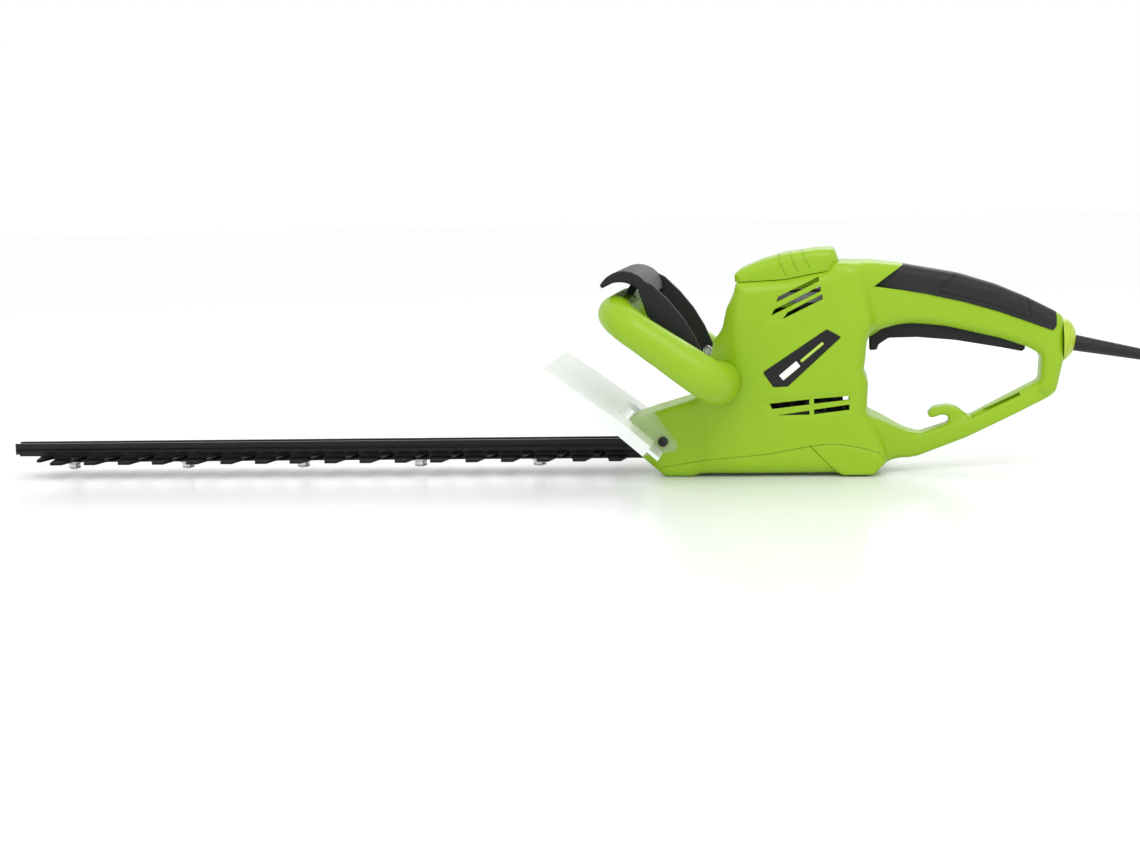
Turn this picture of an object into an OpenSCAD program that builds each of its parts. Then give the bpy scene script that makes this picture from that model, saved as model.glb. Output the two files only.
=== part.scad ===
// Electric hedge trimmer with a double-action blade, a looped front handle and a closed rear handle.
// The blade points along -X, the cord leaves along +X and the feet stand on z = 0.

/* [Blade and guide bar] */
// Reach of the guide bar in front of the housing
bar_reach = 517.5; // [300:0.5:640]
// Width of the guide bar
bar_w = 18; // [16:0.5:24]
// Height of the guide bar
bar_h = 10.2; // [9:0.1:12]
// Distance from one tooth to the next on a blade
tooth_pitch = 28.4; // [26:0.1:34]
// Reach of the teeth from the middle of the blade
tooth_reach = 28.5; // [24:0.5:34]
// Width of a blunt tooth at its end
blunt_w = 9.4; // [7:0.1:11]
// Width of a pointed tooth at its end
pointed_w = 3; // [2:0.1:5]
// Width of the blade's spine
spine_w = 20; // [18:0.5:24]
// Thickness of a blade
blade_t = 2.4; // [1.6:0.1:2.8]
// Travel of a blade to each side of its middle position
half_stroke = 7; // [5:0.1:7.5]
// Distance from one blade bolt to the next
bolt_pitch = 96.5; // [80:0.5:110]
// Diameter of a blade bolt's shoulder
bolt_d = 6; // [5:0.1:7]

/* [Gear train] */
// Tooth module of the gears
gear_module = 1; // [0.9:0.01:1.02]
// Teeth of the drive gear
gear_teeth = 64; // [58:1:65]
// Teeth of the pinion
pinion_teeth = 12; // [11:1:13]
// Width of the drive gear
gear_w = 8; // [6:0.5:9]
// Radius of an eccentric
eccentric_r = 13; // [13:0.1:14]

/* [Housing] */
// Half the width of the motor housing
body_half_w = 38; // [36:0.5:46]
// Half the width of the nose that holds the guide bar
nose_half_w = 34; // [30:0.5:34.5]
// Half the width of the top cover
cover_half_w = 30; // [24:0.5:34]
// Half the width of the rear handle
handle_half_w = 17; // [15:0.5:22]
// Half the width of the lower strut
strut_half_w = 12.5; // [12:0.5:15]
// Length of the rear handle behind the motor housing
handle_len = 146; // [135:1:180]
// Wall thickness of the housing
wall = 2.6; // [2:0.1:3]
// Thickness of the soft grip
grip_t = 1.8; // [1.2:0.1:2.5]

/* [Motor] */
// Outer radius of the stator
stator_r = 30; // [26:0.5:30]
// Height of the stator stack
stator_h = 40; // [30:1:42]
// Radius of the armature
armature_r = 16.5; // [14:0.5:18]
// Radius of the fan
fan_r = 28; // [24:0.5:29]
// Radius of the motor shaft
shaft_r = 4; // [3.5:0.1:4.2]

/* [Front handle and hand guard] */
// Half the distance between the front handle's arms
bail_half_w = 80; // [72:1:95]
// Radius of the front handle at the top
bail_r = 13.5; // [12:0.5:14]
// Radius of the front handle where it meets the housing
bail_root_r = 15.5; // [14:0.5:16]
// Wall of the front handle
bail_wall = 2.5; // [2:0.1:3]
// Width of the hand guard
guard_w = 150; // [120:1:190]
// Thickness of the hand guard
guard_t = 2.4; // [2:0.1:3]

/* [Cord] */
// Diameter of the cord
cord_d = 7; // [6:0.1:8]
// Length of the bend relief
relief_len = 60; // [60:1:60]

/* [Hidden] */
$fn = 48;

green = [0.58, 0.74, 0.22];
pale_green = [0.69, 0.80, 0.28];
black = [0.16, 0.16, 0.17];
steel = [0.72, 0.73, 0.75];
copper = [0.72, 0.42, 0.22];
// Clearances: a running fit, a gap between curved faces that move, and a screw in its hole
run_fit = 0.05;
slide_gap = 0.3;
screw_fit = 0.02;

// Heights of the blade stack, from the floor up
bar_z = 17.2;
blade_gap = 0.1;
upper_blade_z = bar_z - blade_gap - blade_t;
lower_blade_z = upper_blade_z - blade_gap - blade_t;
bar_top = bar_z + bar_h;
mouth_x = 92;
nose_x = mouth_x - bar_reach;
root_gap = 19.6;
tip_gap = 34;
tooth_count = floor((bar_reach - tip_gap - root_gap) / tooth_pitch) + 1;
bolt_root_gap = 83;
bolt_tip_gap = 40;
bolt_count = floor((bar_reach - bolt_tip_gap - bolt_root_gap) / bolt_pitch) + 1;
function blunt_x(i) = mouth_x - root_gap - i * tooth_pitch;
function pointed_x(i) = blunt_x(i) - tooth_pitch / 2;
function bolt_x(i) = mouth_x - bolt_root_gap - i * bolt_pitch;

// Gear train: the pinion turns on the motor's axis and the drive gear in front of it
motor_x = 222;
mesh_gap = 0.1;
centre_distance = gear_module * (gear_teeth + pinion_teeth) / 2 + mesh_gap;
gear_x = motor_x - centre_distance;
gear_z = 20;
gear_shaft_r = 4.5;
bearing_r = 9.5;
bearing_w = 6;
yoke_slack = 1.6;
yoke_side_gap = 0.6;
yoke_wall = 6;
plate_low_z = 2.2 + wall;
plate_low_t = 4;
plate_up_z = 31;
plate_up_t = 10;
tongue_x = 108;
tongue_half_w = 14;
post_r = 4;
post_half_y = 24;
posts_x = [141, 242];

// Motor heights
stator_z = 66;
coil_h = 7;
armature_z = stator_z;
winding_h = 6;
winding_r = armature_r - 2.5;
armature_core_r = armature_r;
fan_z = 47;
fan_h = 11;
commutator_z = 116;
commutator_h = 13;
commutator_r = 11;
brush_z = commutator_z + commutator_h / 2;
brush_half = 3;
end_plate_z = 133;
end_plate_t = 8;
motor_bearing_r = 8;
motor_bearing_w = 6;

// Loop of the front handle, in the plane that leans forward from its root to its grip
bail_root = [156, 75];
bail_top = [78.5, 129];
bail_rise = norm(bail_top - bail_root);
bail_dir = (bail_top - bail_root) / bail_rise;
bail_up = [-bail_dir[1], bail_dir[0]] * -1;
low_bend = 17;
top_bend = 26;
bail_end_y = body_half_w - 5;
lever_pivot = [141, 91];
lever_pin_r = 2.5;
lever_in = bail_half_w - bail_root_r - 6.5;
lever_t = 5.5;

// Pivot of the rear trigger
trigger_pivot = [276, 118];
trigger_half_w = 6.7;
trigger_slot = trigger_half_w + slide_gap;
pin_r = 2.5;

screw_r = 2;
screw_head_r = 3.6;
screw_head_y = 8.4;
screw_head_h = 2.4;
screw_tip_y = -10;
boss_r = 4.4;

function unit(v) = v / norm(v);
function dot(a, b) = a[0] * b[0] + a[1] * b[1];
function flat(p) = [p[0], p[1]];
// Positions behind the motor housing follow the handle's length
handle_x = 280;
function sx(x) = x <= handle_x ? x : handle_x + (x - handle_x) * handle_len / 146;
function stretch(pts) = [for (p = pts) [sx(p[0]), p[1], len(p) > 2 ? p[2] : 0]];
function area(p) = let(n = len(p)) [for (i = 0, a = 0; i <= n; a = a + (i < n ? p[i][0] * p[(i + 1) % n][1]
    - p[(i + 1) % n][0] * p[i][1] : 0), i = i + 1) a][n];
function ccw(p) = area(p) > 0 ? p : [for (i = [len(p) - 1:-1:0]) p[i]];
// Arc that rounds the corner b between a and c
function arc(a, b, c, r) = let(u = unit(a - b), w = unit(c - b), cosine = max(-1, min(1, dot(u, w))),
    half = acos(cosine) / 2) r < 0.05 || half > 88.5 ? [b] : let(
    t = min(r / tan(half), 0.48 * norm(a - b), 0.48 * norm(c - b)), q = t * tan(half),
    m = b + unit(u + w) * (q / sin(half)), s = b + u * t - m, e = b + w * t - m,
    a0 = atan2(s[1], s[0]), raw = atan2(e[1], e[0]) - a0,
    sweep = raw > 180 ? raw - 360 : raw < -180 ? raw + 360 : raw,
    n = max(1, ceil(abs(sweep) / 20))) [for (i = [0:n]) m + q * [cos(a0 + sweep * i / n), sin(a0 + sweep * i / n)]];
// Outline of [x, z, radius] corners turned into points
function rounded(p) = let(n = len(p)) [for (i = [0:n - 1]) each
    arc(flat(p[(i + n - 1) % n]), flat(p[i]), flat(p[(i + 1) % n]), len(p[i]) > 2 ? p[i][2] : 0)];
// The same outline moved inward by d, with its corner radii adjusted
function inset(raw, d) = let(p = ccw(raw), n = len(p)) [for (i = [0:n - 1]) let(
    a = flat(p[(i + n - 1) % n]), b = flat(p[i]), c = flat(p[(i + 1) % n]), e = unit(b - a), f = unit(c - b),
    m = [-e[1], e[0]], k = [-f[1], f[0]], bend = e[0] * f[1] - e[1] * f[0],
    v = b + (m + k) * d / (1 + dot(m, k)), r = len(p[i]) > 2 ? p[i][2] : 0) [v[0], v[1], bend > 0 ? max(r - d, 0) : r + d]];

// A flat outline in x and z, thick from y0 to y1
module slab(pts, y0, y1) translate([0, max(y0, y1), 0]) rotate([90, 0, 0]) linear_extrude(abs(y1 - y0)) polygon(pts);
// The same on both sides, between two distances from the middle plane
module sides(pts, y0, y1) {
    slab(pts, y0, y1);
    slab(pts, -y1, -y0);
}
// A cylinder along y
module rod_y(x, z, r, y0, y1) translate([x, max(y0, y1), z]) rotate([90, 0, 0]) cylinder(r = r, h = abs(y1 - y0));
module rod_z(x, y, r, z0, z1) translate([x, y, z0]) cylinder(r = r, h = z1 - z0);
module ring_z(x, y, r_out, r_in, z0, z1) difference() {
    rod_z(x, y, r_out, z0, z1);
    rod_z(x, y, r_in, z0 - 1, z1 + 1);
}

// Outlines of the housing, as [x, z, corner radius]
cover_seat = [[246, 159], [236, 156.5], [224, 154.5], [205, 151], [168, 149.5]];
body_outline = concat([[140, 2.2], [244, 2.2, 2], [248, 0, 2], [271, 0, 3], [283, 11, 4], [277, 30, 12],
    [266.5, 47, 4], [268, 72, 3], [264.5, 80, 3], [266, 90, 4], [267, 102, 6], [273, 118, 10],
    [264, 162, 12], [248, 164.4, 2]], cover_seat, [[166.5, 142, 4], [160.5, 129.4, 5], [157, 114, 3],
    [150.5, 104.6, 5], [146, 89, 6], [140, 70]]);
nose_outline = [[92, 17, 3], [111, 0, 2.5], [135, 0, 2], [139, 2.2, 2], [152, 2.2], [152, 67],
    [128, 58, 5], [104, 51, 3], [79.5, 42.5, 3]];
wedge_outline = stretch([[262, 3], [276, 5], [283, 11, 4], [296, 10, 8], [318, 17], [320, 33.5], [304, 29.5, 8],
    [270, 45, 6], [262, 46]]);
strut_outline = stretch([[288, 12], [296, 10, 8], [306, 12, 8], [343, 26, 30], [381, 44.3, 30], [404, 56, 4],
    [410, 62, 4], [398, 70, 3], [344, 42, 2], [329, 37, 2], [306.5, 29.8, 8], [288, 36]]);
hook_outline = stretch([[338, 33], [345, 42, 3], [335.5, 49.6, 5], [328, 51.2, 6], [318, 49.6, 5], [312.8, 45, 3],
    [315, 40.6, 2], [325.4, 44, 2], [330, 41.5, 2], [328, 33]]);
handle_outline = stretch([[254, 118], [254, 163.8], [271, 163.2, 30], [287, 161.8, 20], [299, 159.4, 30],
    [337, 152.1, 60], [365.4, 143, 60], [388.3, 133, 60], [410.5, 121.4, 3], [415, 118, 3], [415.5, 85, 5],
    [410, 61, 4], [404, 56, 3], [394, 62], [397.4, 70, 3], [398.5, 87.5, 3], [396.5, 90.5, 3], [387.3, 95.6, 2],
    [368, 102.3, 60], [327, 112.2, 60], [298, 115.2, 20], [284, 114.7, 8], [270, 104, 4]]);
grip_zone = stretch([[272.5, 144.3], [312.3, 137.5], [341, 130.8], [367, 123], [407, 108, 2], [409.5, 112],
    [409.5, 140], [340, 175], [302, 165]]);
slot_outline = stretch([[268.5, 98], [268.5, 128], [292, 127], [332, 124], [370, 117], [390, 108], [390, 92], [300, 98]]);
rounding = 8;
handle_rounding = 5;
strut_rounding = 3;
// Screw bosses, as [x, z, half width of the housing there]
bosses = [[118, 47.5, nose_half_w], [166, 98, body_half_w], [178, 138, body_half_w], [254, 122, body_half_w],
    [270, 22, body_half_w], [sx(296), 132.5, handle_half_w],
    [sx(405), 74, handle_half_w], [sx(354), 38.5, strut_half_w]];
// Cooling slots, as [x0, z0, x1, z1, height]
slots = [[200, 135.2, 230, 149.6, 4], [197.5, 125.6, 231.5, 142.2, 4], [208, 121.8, 233, 134.2, 4],
    [194.5, 54.6, 223.5, 58.6, 4], [227.5, 59.2, 253, 60.8, 3.6], [200.5, 47.4, 223.5, 49.6, 3],
    [227.5, 50.8, 253, 54.2, 4]];

// Half of a body with its outer edge rounded in steps
module stepped(outline, w, r, s) {
    slab(rounded(outline), 0, s * (w - r));
    slab(rounded(inset(outline, 0.3 * r)), s * (w - r), s * (w - 0.35 * r));
    slab(rounded(inset(outline, r)), s * (w - 0.35 * r), s * w);
}
// The hollow inside it
module hollow(outline, w, r, s) {
    slab(rounded(inset(outline, wall)), -s, s * (w - r));
    slab(rounded(inset(outline, r + 1)), s * (w - r) - s * 0.01, s * (w - wall));
}
module slot_cut(v, s) {
    d = unit([v[2] - v[0], v[3] - v[1]]);
    n = [-d[1], d[0]] * v[4] / 2;
    a = [v[0], v[1]];
    b = [v[2], v[3]];
    slab([a - n, b - n, b + n, a + n], s * (body_half_w - 6), s * (body_half_w + 2));
}
// Ribs that carry the stator, the end plate and the gear plate
module ribs(s) {
    difference() {
        for (z = [stator_z + 6, stator_z + stator_h - 8])
            translate([motor_x - 34, s > 0 ? 12 : -(body_half_w - wall / 2), z]) cube([68, body_half_w - wall / 2 - 12, 2.5]);
        rod_z(motor_x, 0, stator_r + screw_fit, stator_z, stator_z + stator_h);
    }
    for (x = [motor_x - 20, motor_x + 8])
        translate([x, s > 0 ? 25 : -(body_half_w - wall / 2), end_plate_z - 3]) cube([12, body_half_w - wall / 2 - 25, 3]);
    translate([motor_x - 14, s > 0 ? 31 : -(body_half_w - wall / 2), plate_up_z + plate_up_t])
        cube([30, body_half_w - wall / 2 - 31, 3]);
}
module housing_half(s) {
    difference() {
        union() {
            difference() {
                union() {
                    stepped(body_outline, body_half_w, rounding, s);
                    stepped(nose_outline, nose_half_w, handle_rounding, s);
                    stepped(wedge_outline, 2 * strut_half_w, handle_rounding, s);
                    stepped(handle_outline, handle_half_w, handle_rounding, s);
                }
                hollow(body_outline, body_half_w, rounding, s);
                hollow(nose_outline, nose_half_w, handle_rounding, s);
                hollow(handle_outline, handle_half_w, handle_rounding, s);
                slab(rounded(grip_zone), s * (handle_half_w - grip_t), s * (handle_half_w + 9));
                difference() {
                    slab(rounded(grip_zone), -s, s * handle_half_w);
                    slab(rounded(inset(handle_outline, grip_t)), -2 * s, s * (handle_half_w + 1));
                }
            }
            stepped(strut_outline, strut_half_w, strut_rounding, s);
            slab(rounded(hook_outline), 0, s * (strut_half_w - strut_rounding));
            for (b = bosses) rod_y(b[0], b[1], boss_r, 0, s * (b[2] - grip_t - 0.4));
            rod_y(110.8, 28.4, boss_r, s * (tongue_half_w + 1), s * (nose_half_w - wall / 2));
            rod_y(trigger_pivot[0], trigger_pivot[1], boss_r, s * (trigger_slot + 0.1), s * (handle_half_w - wall / 2));
            difference() {
                rod_y(bail_root[0], bail_root[1], bail_root_r + 3, s * (bail_end_y - 3), s * (body_half_w - wall / 2));
                rod_y(bail_root[0], bail_root[1], bail_root_r - bail_wall, s * (bail_end_y - 4), s * body_half_w);
            }
            ribs(s);
        }
        for (b = bosses) {
            rod_y(b[0], b[1], screw_r + (s > 0 ? 0.2 : screw_fit), -s, s > 0 ? b[2] : screw_tip_y - 0.5);
            if (s > 0) rod_y(b[0], b[1], screw_head_r + 0.4, screw_head_y, b[2] + 1);
        }
        slab(rounded(slot_outline), -s, s * trigger_slot);
        rod_y(trigger_pivot[0], trigger_pivot[1], pin_r, -s, s * (handle_half_w - wall / 2 - 0.5));
        rod_y(bail_root[0], bail_root[1], bail_root_r + screw_fit, s * bail_end_y, s * (body_half_w + 1));
        rod_y(110.8, 28.4, screw_r + screw_fit, s * 22, s * (nose_half_w + 1));
        translate([60, s > 0 ? -1 : -spine_w / 2 - 1, lower_blade_z - 2.6])
            cube([88, spine_w / 2 + 2, bar_top - lower_blade_z + 3]);
        for (v = slots) slot_cut(v, s);
        if (s < 0) slab(rounded(badge_outline), -body_half_w - 1, -body_half_w + badge_t);
        outlet_space();
        slab(stretch([[346, 43.4], [382, 60.6], [383, 58.4], [347, 41.2]]) * [[1, 0], [0, 1], [0, 0]],
            s * (strut_half_w - 2), s * (strut_half_w + 1));
    }
}
module left_housing() color(green) housing_half(-1);
module right_housing() color(green) housing_half(1);

cover_rounding = 6;
cover_low = 138;
cover_outline = [[168, cover_low], [246, cover_low], [246, 165, 1], [242.8, 173.7, 3], [230, 173.6, 20],
    [206, 170.6, 30], [188, 165.8, 20], [171.5, 159, 3], [167, 155.5, 2]];
cover_hollow = concat([[241.6, cover_low], [241.6, 168.5, 3]], [[228, 170.8, 20], [206, 167.6, 30], [188, 162.8, 20],
    [175, 157, 3], [172.5, cover_low]]);
// The cover ends below along its seat on the two halves
cover_cut = concat([[160, 120], [252, 120], [252, 160.5]], cover_seat, [[160, 149.18]]);
module top_cover() color(green) difference() {
    union() for (s = [-1, 1]) stepped(cover_outline, cover_half_w, cover_rounding, s);
    slab(rounded(cover_hollow), -cover_half_w + cover_rounding + 1, cover_half_w - cover_rounding - 1);
    slab([for (p = cover_cut) [p[0], p[1]]], -cover_half_w - 1, cover_half_w + 1);
    for (i = [0:2]) sides([[200 + 9 * i, 168.6 + 1.6 * i], [202 + 9 * i, 168.6 + 1.6 * i], [207.5 + 9 * i, 156 + 3 * i],
        [205.5 + 9 * i, 156 + 3 * i]], cover_half_w - 0.8, cover_half_w + 1);
}

module screw_y(x, z, y_head, h_head, y_tip, r, r_head) {
    rod_y(x, z, r_head, y_head, y_head + h_head);
    rod_y(x, z, r, y_tip, y_head);
}
module housing_screws() color(steel) for (b = bosses)
    screw_y(b[0], b[1], screw_head_y, screw_head_h, screw_tip_y, screw_r, screw_head_r);

badge_t = 0.8;
badge_outline = [[188, 81, 2], [237, 113.4, 2], [247.6, 107.2, 1], [207, 70, 2], [196, 69.6, 2]];
module badge_plate() color(black)
    slab(rounded(inset(badge_outline, 0.05)), -body_half_w - 0.3, -body_half_w + badge_t);

module soft_grip() color(black) difference() {
    intersection() {
        slab(rounded(handle_outline), -handle_half_w - 1.4, handle_half_w + 1.4);
        slab(rounded(grip_zone), -handle_half_w - 2, handle_half_w + 2);
    }
    slab(rounded(inset(handle_outline, grip_t)), -handle_half_w + grip_t, handle_half_w - grip_t);
}

// Rear trigger, hinged at its front end
trigger_outline = stretch([[269.2, 94, 1.5], [275, 94.4, 1.5], [276.4, 98.5, 3], [284, 103.4, 6], [305.4, 103.7, 20], [334.2, 101, 40],
    [368, 95, 30], [384.7, 91.6, 1], [387, 93.4, 1], [387, 100, 1], [368, 107.5, 30], [330, 117, 30], [300, 120, 20],
    [284, 123, 4], [271, 123, 4], [269.2, 112, 4]]);
button_x = sx(345);
trigger_rib_z = 121;
module rear_trigger() color(black) difference() {
    union() {
        slab(rounded(trigger_outline), -trigger_half_w, trigger_half_w);
        translate([button_x - 4, -trigger_half_w + 1, 108]) cube([8, 2 * trigger_half_w - 2, trigger_rib_z - 108]);
    }
    rod_y(trigger_pivot[0], trigger_pivot[1], pin_r + run_fit, -trigger_half_w - 1, trigger_half_w + 1);
    slab(rounded(stretch([[292, 107, 1], [292, 125], [334, 125], [334, 104.6, 1]])), -trigger_half_w + 2.2, trigger_half_w - 2.2);
}
module trigger_pin() color(steel)
    rod_y(trigger_pivot[0], trigger_pivot[1], pin_r, -handle_half_w + wall, handle_half_w - wall);

// A round wire wound about an axis along z, as one closed solid
function coil_at(r, pitch, turns, a) = [r * cos(a), r * sin(a), pitch * a / 360];
module coil(r, wire_r, height, turns, steps = 12, sides = 6) {
    n = turns * steps;
    pitch = (height - 2 * wire_r) / turns;
    rings = [for (i = [0:n]) let(a = 360 * i / steps, p = coil_at(r, pitch, turns, a)) for (k = [0:sides - 1])
        let(b = 360 * k / sides) p + [cos(a) * wire_r * cos(b), sin(a) * wire_r * cos(b), wire_r * (1 + sin(b))]];
    faces = concat([[for (k = [sides - 1:-1:0]) k]], [[for (k = [0:sides - 1]) n * sides + k]],
        [for (i = [0:n - 1]) for (k = [0:sides - 1]) let(a = i * sides + k, b = i * sides + (k + 1) % sides)
            each [[a, b + sides, a + sides], [a, b, b + sides]]]);
    polyhedron(rings, faces);
}
trigger_spring_x = sx(316);
trigger_spring_z = 108.2;
trigger_spring_top = 140;
module trigger_spring() color(steel) translate([trigger_spring_x, 0, trigger_spring_z])
    coil(3, 0.45, trigger_spring_top - trigger_spring_z, 9);

switch_z = 128;
switch_h = 14;
module rear_switch() color(black) difference() {
    union() {
        translate([button_x - 15, -10, switch_z]) cube([30, 20, switch_h - 5]);
        translate([button_x - 14, -8, switch_z]) cube([22, 16, switch_h]);
    }
    rod_z(button_x, 0, 3 + run_fit, switch_z - 1, switch_z + 9);
}
module rear_switch_button() color(black) rod_z(button_x, 0, 3, trigger_rib_z + slide_gap, switch_z + 3);

// Front handle: a bent tube in a leaning plane, parted along that plane; its places have x down along the rise, z up
module half_ring(s, r = bail_r) intersection() {
    difference() {
        circle(r);
        circle(r - bail_wall);
    }
    translate([-r, s > 0 ? 0 : -r]) square([2 * r, r]);
}
module half_bend(s, bend, r, turn) rotate([0, 0, turn]) rotate_extrude(angle = 90) translate([bend, 0]) half_ring(s, r);
module half_straight(s, r, y0, y1) translate([0, y1, 0]) rotate([90, 0, 0]) linear_extrude(y1 - y0) half_ring(s, r);
leg_rise = bail_rise - top_bend - low_bend;
module half_leg(s) rotate([0, -90, 0]) difference() {
    cylinder(r1 = bail_root_r, r2 = bail_r, h = leg_rise);
    translate([0, 0, -0.001]) cylinder(r1 = bail_root_r - bail_wall, r2 = bail_r - bail_wall, h = leg_rise + 0.002);
    translate([s > 0 ? -bail_root_r : 0, -bail_root_r, -1]) cube([bail_root_r, 2 * bail_root_r, leg_rise + 2]);
}
// Half of the tube's wall: s = 1 is the upper half
module bail_half(s) along_bail(0, 0) {
    translate([-bail_rise, 0, 0]) half_straight(s, bail_r, -bail_half_w + top_bend, bail_half_w - top_bend);
    for (e = [-1, 1]) {
        translate([top_bend - bail_rise, e * (bail_half_w - top_bend), 0]) half_bend(s, top_bend, bail_r, e > 0 ? 90 : 180);
        translate([-low_bend, e * bail_half_w, 0]) half_leg(s);
        translate([-low_bend, e * (bail_half_w - low_bend), 0]) half_bend(s, low_bend, bail_root_r, e > 0 ? 0 : 270);
        half_straight(s, bail_root_r, e > 0 ? bail_end_y : low_bend - bail_half_w, e > 0 ? bail_half_w - low_bend : -bail_end_y);
    }
}
button_rise = bail_rise + 2.5;
module along_bail(rise, up) translate([bail_root[0] + bail_dir[0] * rise + bail_up[0] * up, 0,
    bail_root[1] + bail_dir[1] * rise + bail_up[1] * up]) rotate([0, atan2(bail_up[0], bail_up[1]), 0]) children();
bail_screws = [[-1, 0.5], [1, 0.5], [-0.45, 1], [0.45, 1]];
module bail_screw_places() for (b = bail_screws) translate([0, b[0] * bail_half_w, 0])
    along_bail(bail_rise * b[1], 0) children();
module front_handle_upper() color(green) difference() {
    union() {
        bail_half(1);
        bail_screw_places() cylinder(r = 3.4, h = bail_r - 1.2);
    }
    for (s = [-1, 1]) rod_y(lever_pivot[0], lever_pivot[1], lever_pin_r, s * lever_in, s * (bail_half_w - 6));
    along_bail(button_rise, 0) translate([-6, -6.5, 8]) cube([12, 13, 12]);
    bail_screw_places() translate([0, 0, -1]) cylinder(r = screw_r + screw_fit, h = 9);
}
module front_handle_lower() color(green) difference() {
    union() {
        bail_half(-1);
        bail_screw_places() translate([0, 0, -bail_r + 1.2]) cylinder(r = 4.6, h = bail_r - 1.2);
    }
    bail_screw_places() translate([0, 0, -bail_r - 1]) cylinder(r = screw_r + 0.2, h = bail_r + 2);
    bail_screw_places() translate([0, 0, -bail_r - 1]) cylinder(r = screw_head_r + 0.4, h = bail_r - 4.9);
}
module front_handle_screws() color(steel) bail_screw_places() {
    translate([0, 0, -8.3]) cylinder(r = screw_head_r, h = 2.4);
    translate([0, 0, -5.9]) cylinder(r = screw_r, h = 13);
}

// Front safety lever: a channel over the handle's grip with two cheeks, hinged near their lower ends
function bail_xz(rise, up) = bail_root + bail_dir * rise + bail_up * up;
cheek_outline = [for (p = [[17.4, 4, 3], [21, -0.4, 4], [32, -0.5, 4], [60, 9, 12], [74, 13.5, 6], [82, 20, 4], [90, 24.5, 2],
    [90, 34, 2], [82, 30, 6], [66, 27, 16], [50, 24.5, 30], [36, 19.5, 20], [21, 10.5, 4]]) let(q = bail_xz(p[0], p[1])) [q[0], q[1], p[2]]];
channel_centre = [bail_rise - 1.5, 4];
channel_in = 21.5;
channel_t = 9;
channel_outline = let(n = 12) concat(
    [for (i = [0:n]) let(a = 18 + 102 * i / n) bail_xz(channel_centre[0] + (channel_in + channel_t * sin(180 * (0.12 + 0.8 * i / n))) * cos(a),
        channel_centre[1] + (channel_in + channel_t * sin(180 * (0.12 + 0.8 * i / n))) * sin(a))],
    [for (i = [n:-1:0]) let(a = 18 + 102 * i / n) bail_xz(channel_centre[0] + channel_in * cos(a), channel_centre[1] + channel_in * sin(a))]);
lever_out = lever_in + lever_t;
module front_lever() color(black) difference() {
    union() {
        slab(channel_outline, -lever_out, lever_out);
        sides(rounded(cheek_outline), lever_in, lever_out);
        slab([for (p = [[button_rise - 3, 13], [button_rise + 3, 13], [button_rise + 3, 27.5], [button_rise - 3, 27.5]]) bail_xz(p[0], p[1])], -5, 5);
    }
    for (s = [-1, 1]) rod_y(lever_pivot[0], lever_pivot[1], lever_pin_r + run_fit, s * (lever_in - 1), s * (lever_out + 1));
}
lever_pin_in = lever_in - 8;
module lever_pins() color(steel) for (s = [-1, 1])
    rod_y(lever_pivot[0], lever_pivot[1], lever_pin_r, s * lever_pin_in, s * (bail_half_w - 8));
module lever_springs() color(steel) for (s = [-1, 1])
    translate([lever_pivot[0], s > 0 ? lever_pin_in + 0.4 : -lever_in + 0.8, lever_pivot[1]]) rotate([-90, 0, 0])
        coil(lever_pin_r + 0.7, 0.5, 6.6, 5);
front_switch_low = -9;
module front_switch() color(black) along_bail(button_rise, 0) difference() {
    translate([-3.5, -10, front_switch_low]) cube([8.5, 20, 12]);
    translate([0, 0, front_switch_low + 0.4]) cylinder(r = 2 + run_fit, h = 20);
}
module front_switch_button() color(black) along_bail(button_rise, 0) translate([0, 0, -0.5]) cylinder(r = 2, h = 13.2);

// Clear hand guard: a leaning plate with side flanges, and brackets screwed to the nose
guard_line = [[22.5, 88], [61, 60.5], [82, 45.5], [103, 27.5]];
function beside(line, d) = let(n = len(line)) [for (i = [0:n - 1]) let(t = unit(line[min(i + 1, n - 1)] - line[max(i - 1, 0)]))
    line[i] + [-t[1], t[0]] * d];
function strip(line, d0, d1) = let(a = beside(line, d0), b = beside(line, d1), n = len(a))
    concat(a, [for (i = [n - 1:-1:0]) b[i]]);
guard_in = nose_half_w + 0.05;
guard_screw = [110.8, 28.4];
module hand_guard() color([0.9, 0.91, 0.9, 0.6]) difference() {
    union() {
        intersection() {
            slab(strip(guard_line, 0, guard_t), -guard_w / 2, guard_w / 2);
            rotate([90, 0, 90]) linear_extrude(200)
                polygon(rounded([[-guard_w / 2, 0], [guard_w / 2, 0], [guard_w / 2, 91, 16], [-guard_w / 2, 91, 16]]));
        }
        sides(strip([guard_line[0] + [12, -8.5], guard_line[1], guard_line[2], guard_line[3]], -7, guard_t), guard_w / 2 - guard_t, guard_w / 2);
        sides(rounded([[80, 43, 2], [104.4, 51.5, 2], [122, 27, 2], [121, 20.6, 1], [95, 17, 1]]), guard_in, guard_in + guard_t);
        sides(strip([[97.5, 32.4], [103, 27.5], [111, 20.5]], -guard_t, 0), guard_in, guard_w / 2);
    }
    slab([[60, 10], [76, 44], [77, 47.5], [104, 54.5], [130, 60], [130, 10]], -guard_in, guard_in);
    for (s = [-1, 1]) rod_y(guard_screw[0], guard_screw[1], screw_r + 0.2, s * (guard_in - 1), s * (guard_in + 6));
}
module guard_screws() color(black) for (s = [-1, 1]) {
    rod_y(guard_screw[0], guard_screw[1], 3.9, s * (guard_in + guard_t), s * (guard_in + guard_t + 2));
    rod_y(guard_screw[0], guard_screw[1], screw_r, s * 23, s * (guard_in + guard_t));
}

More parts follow.
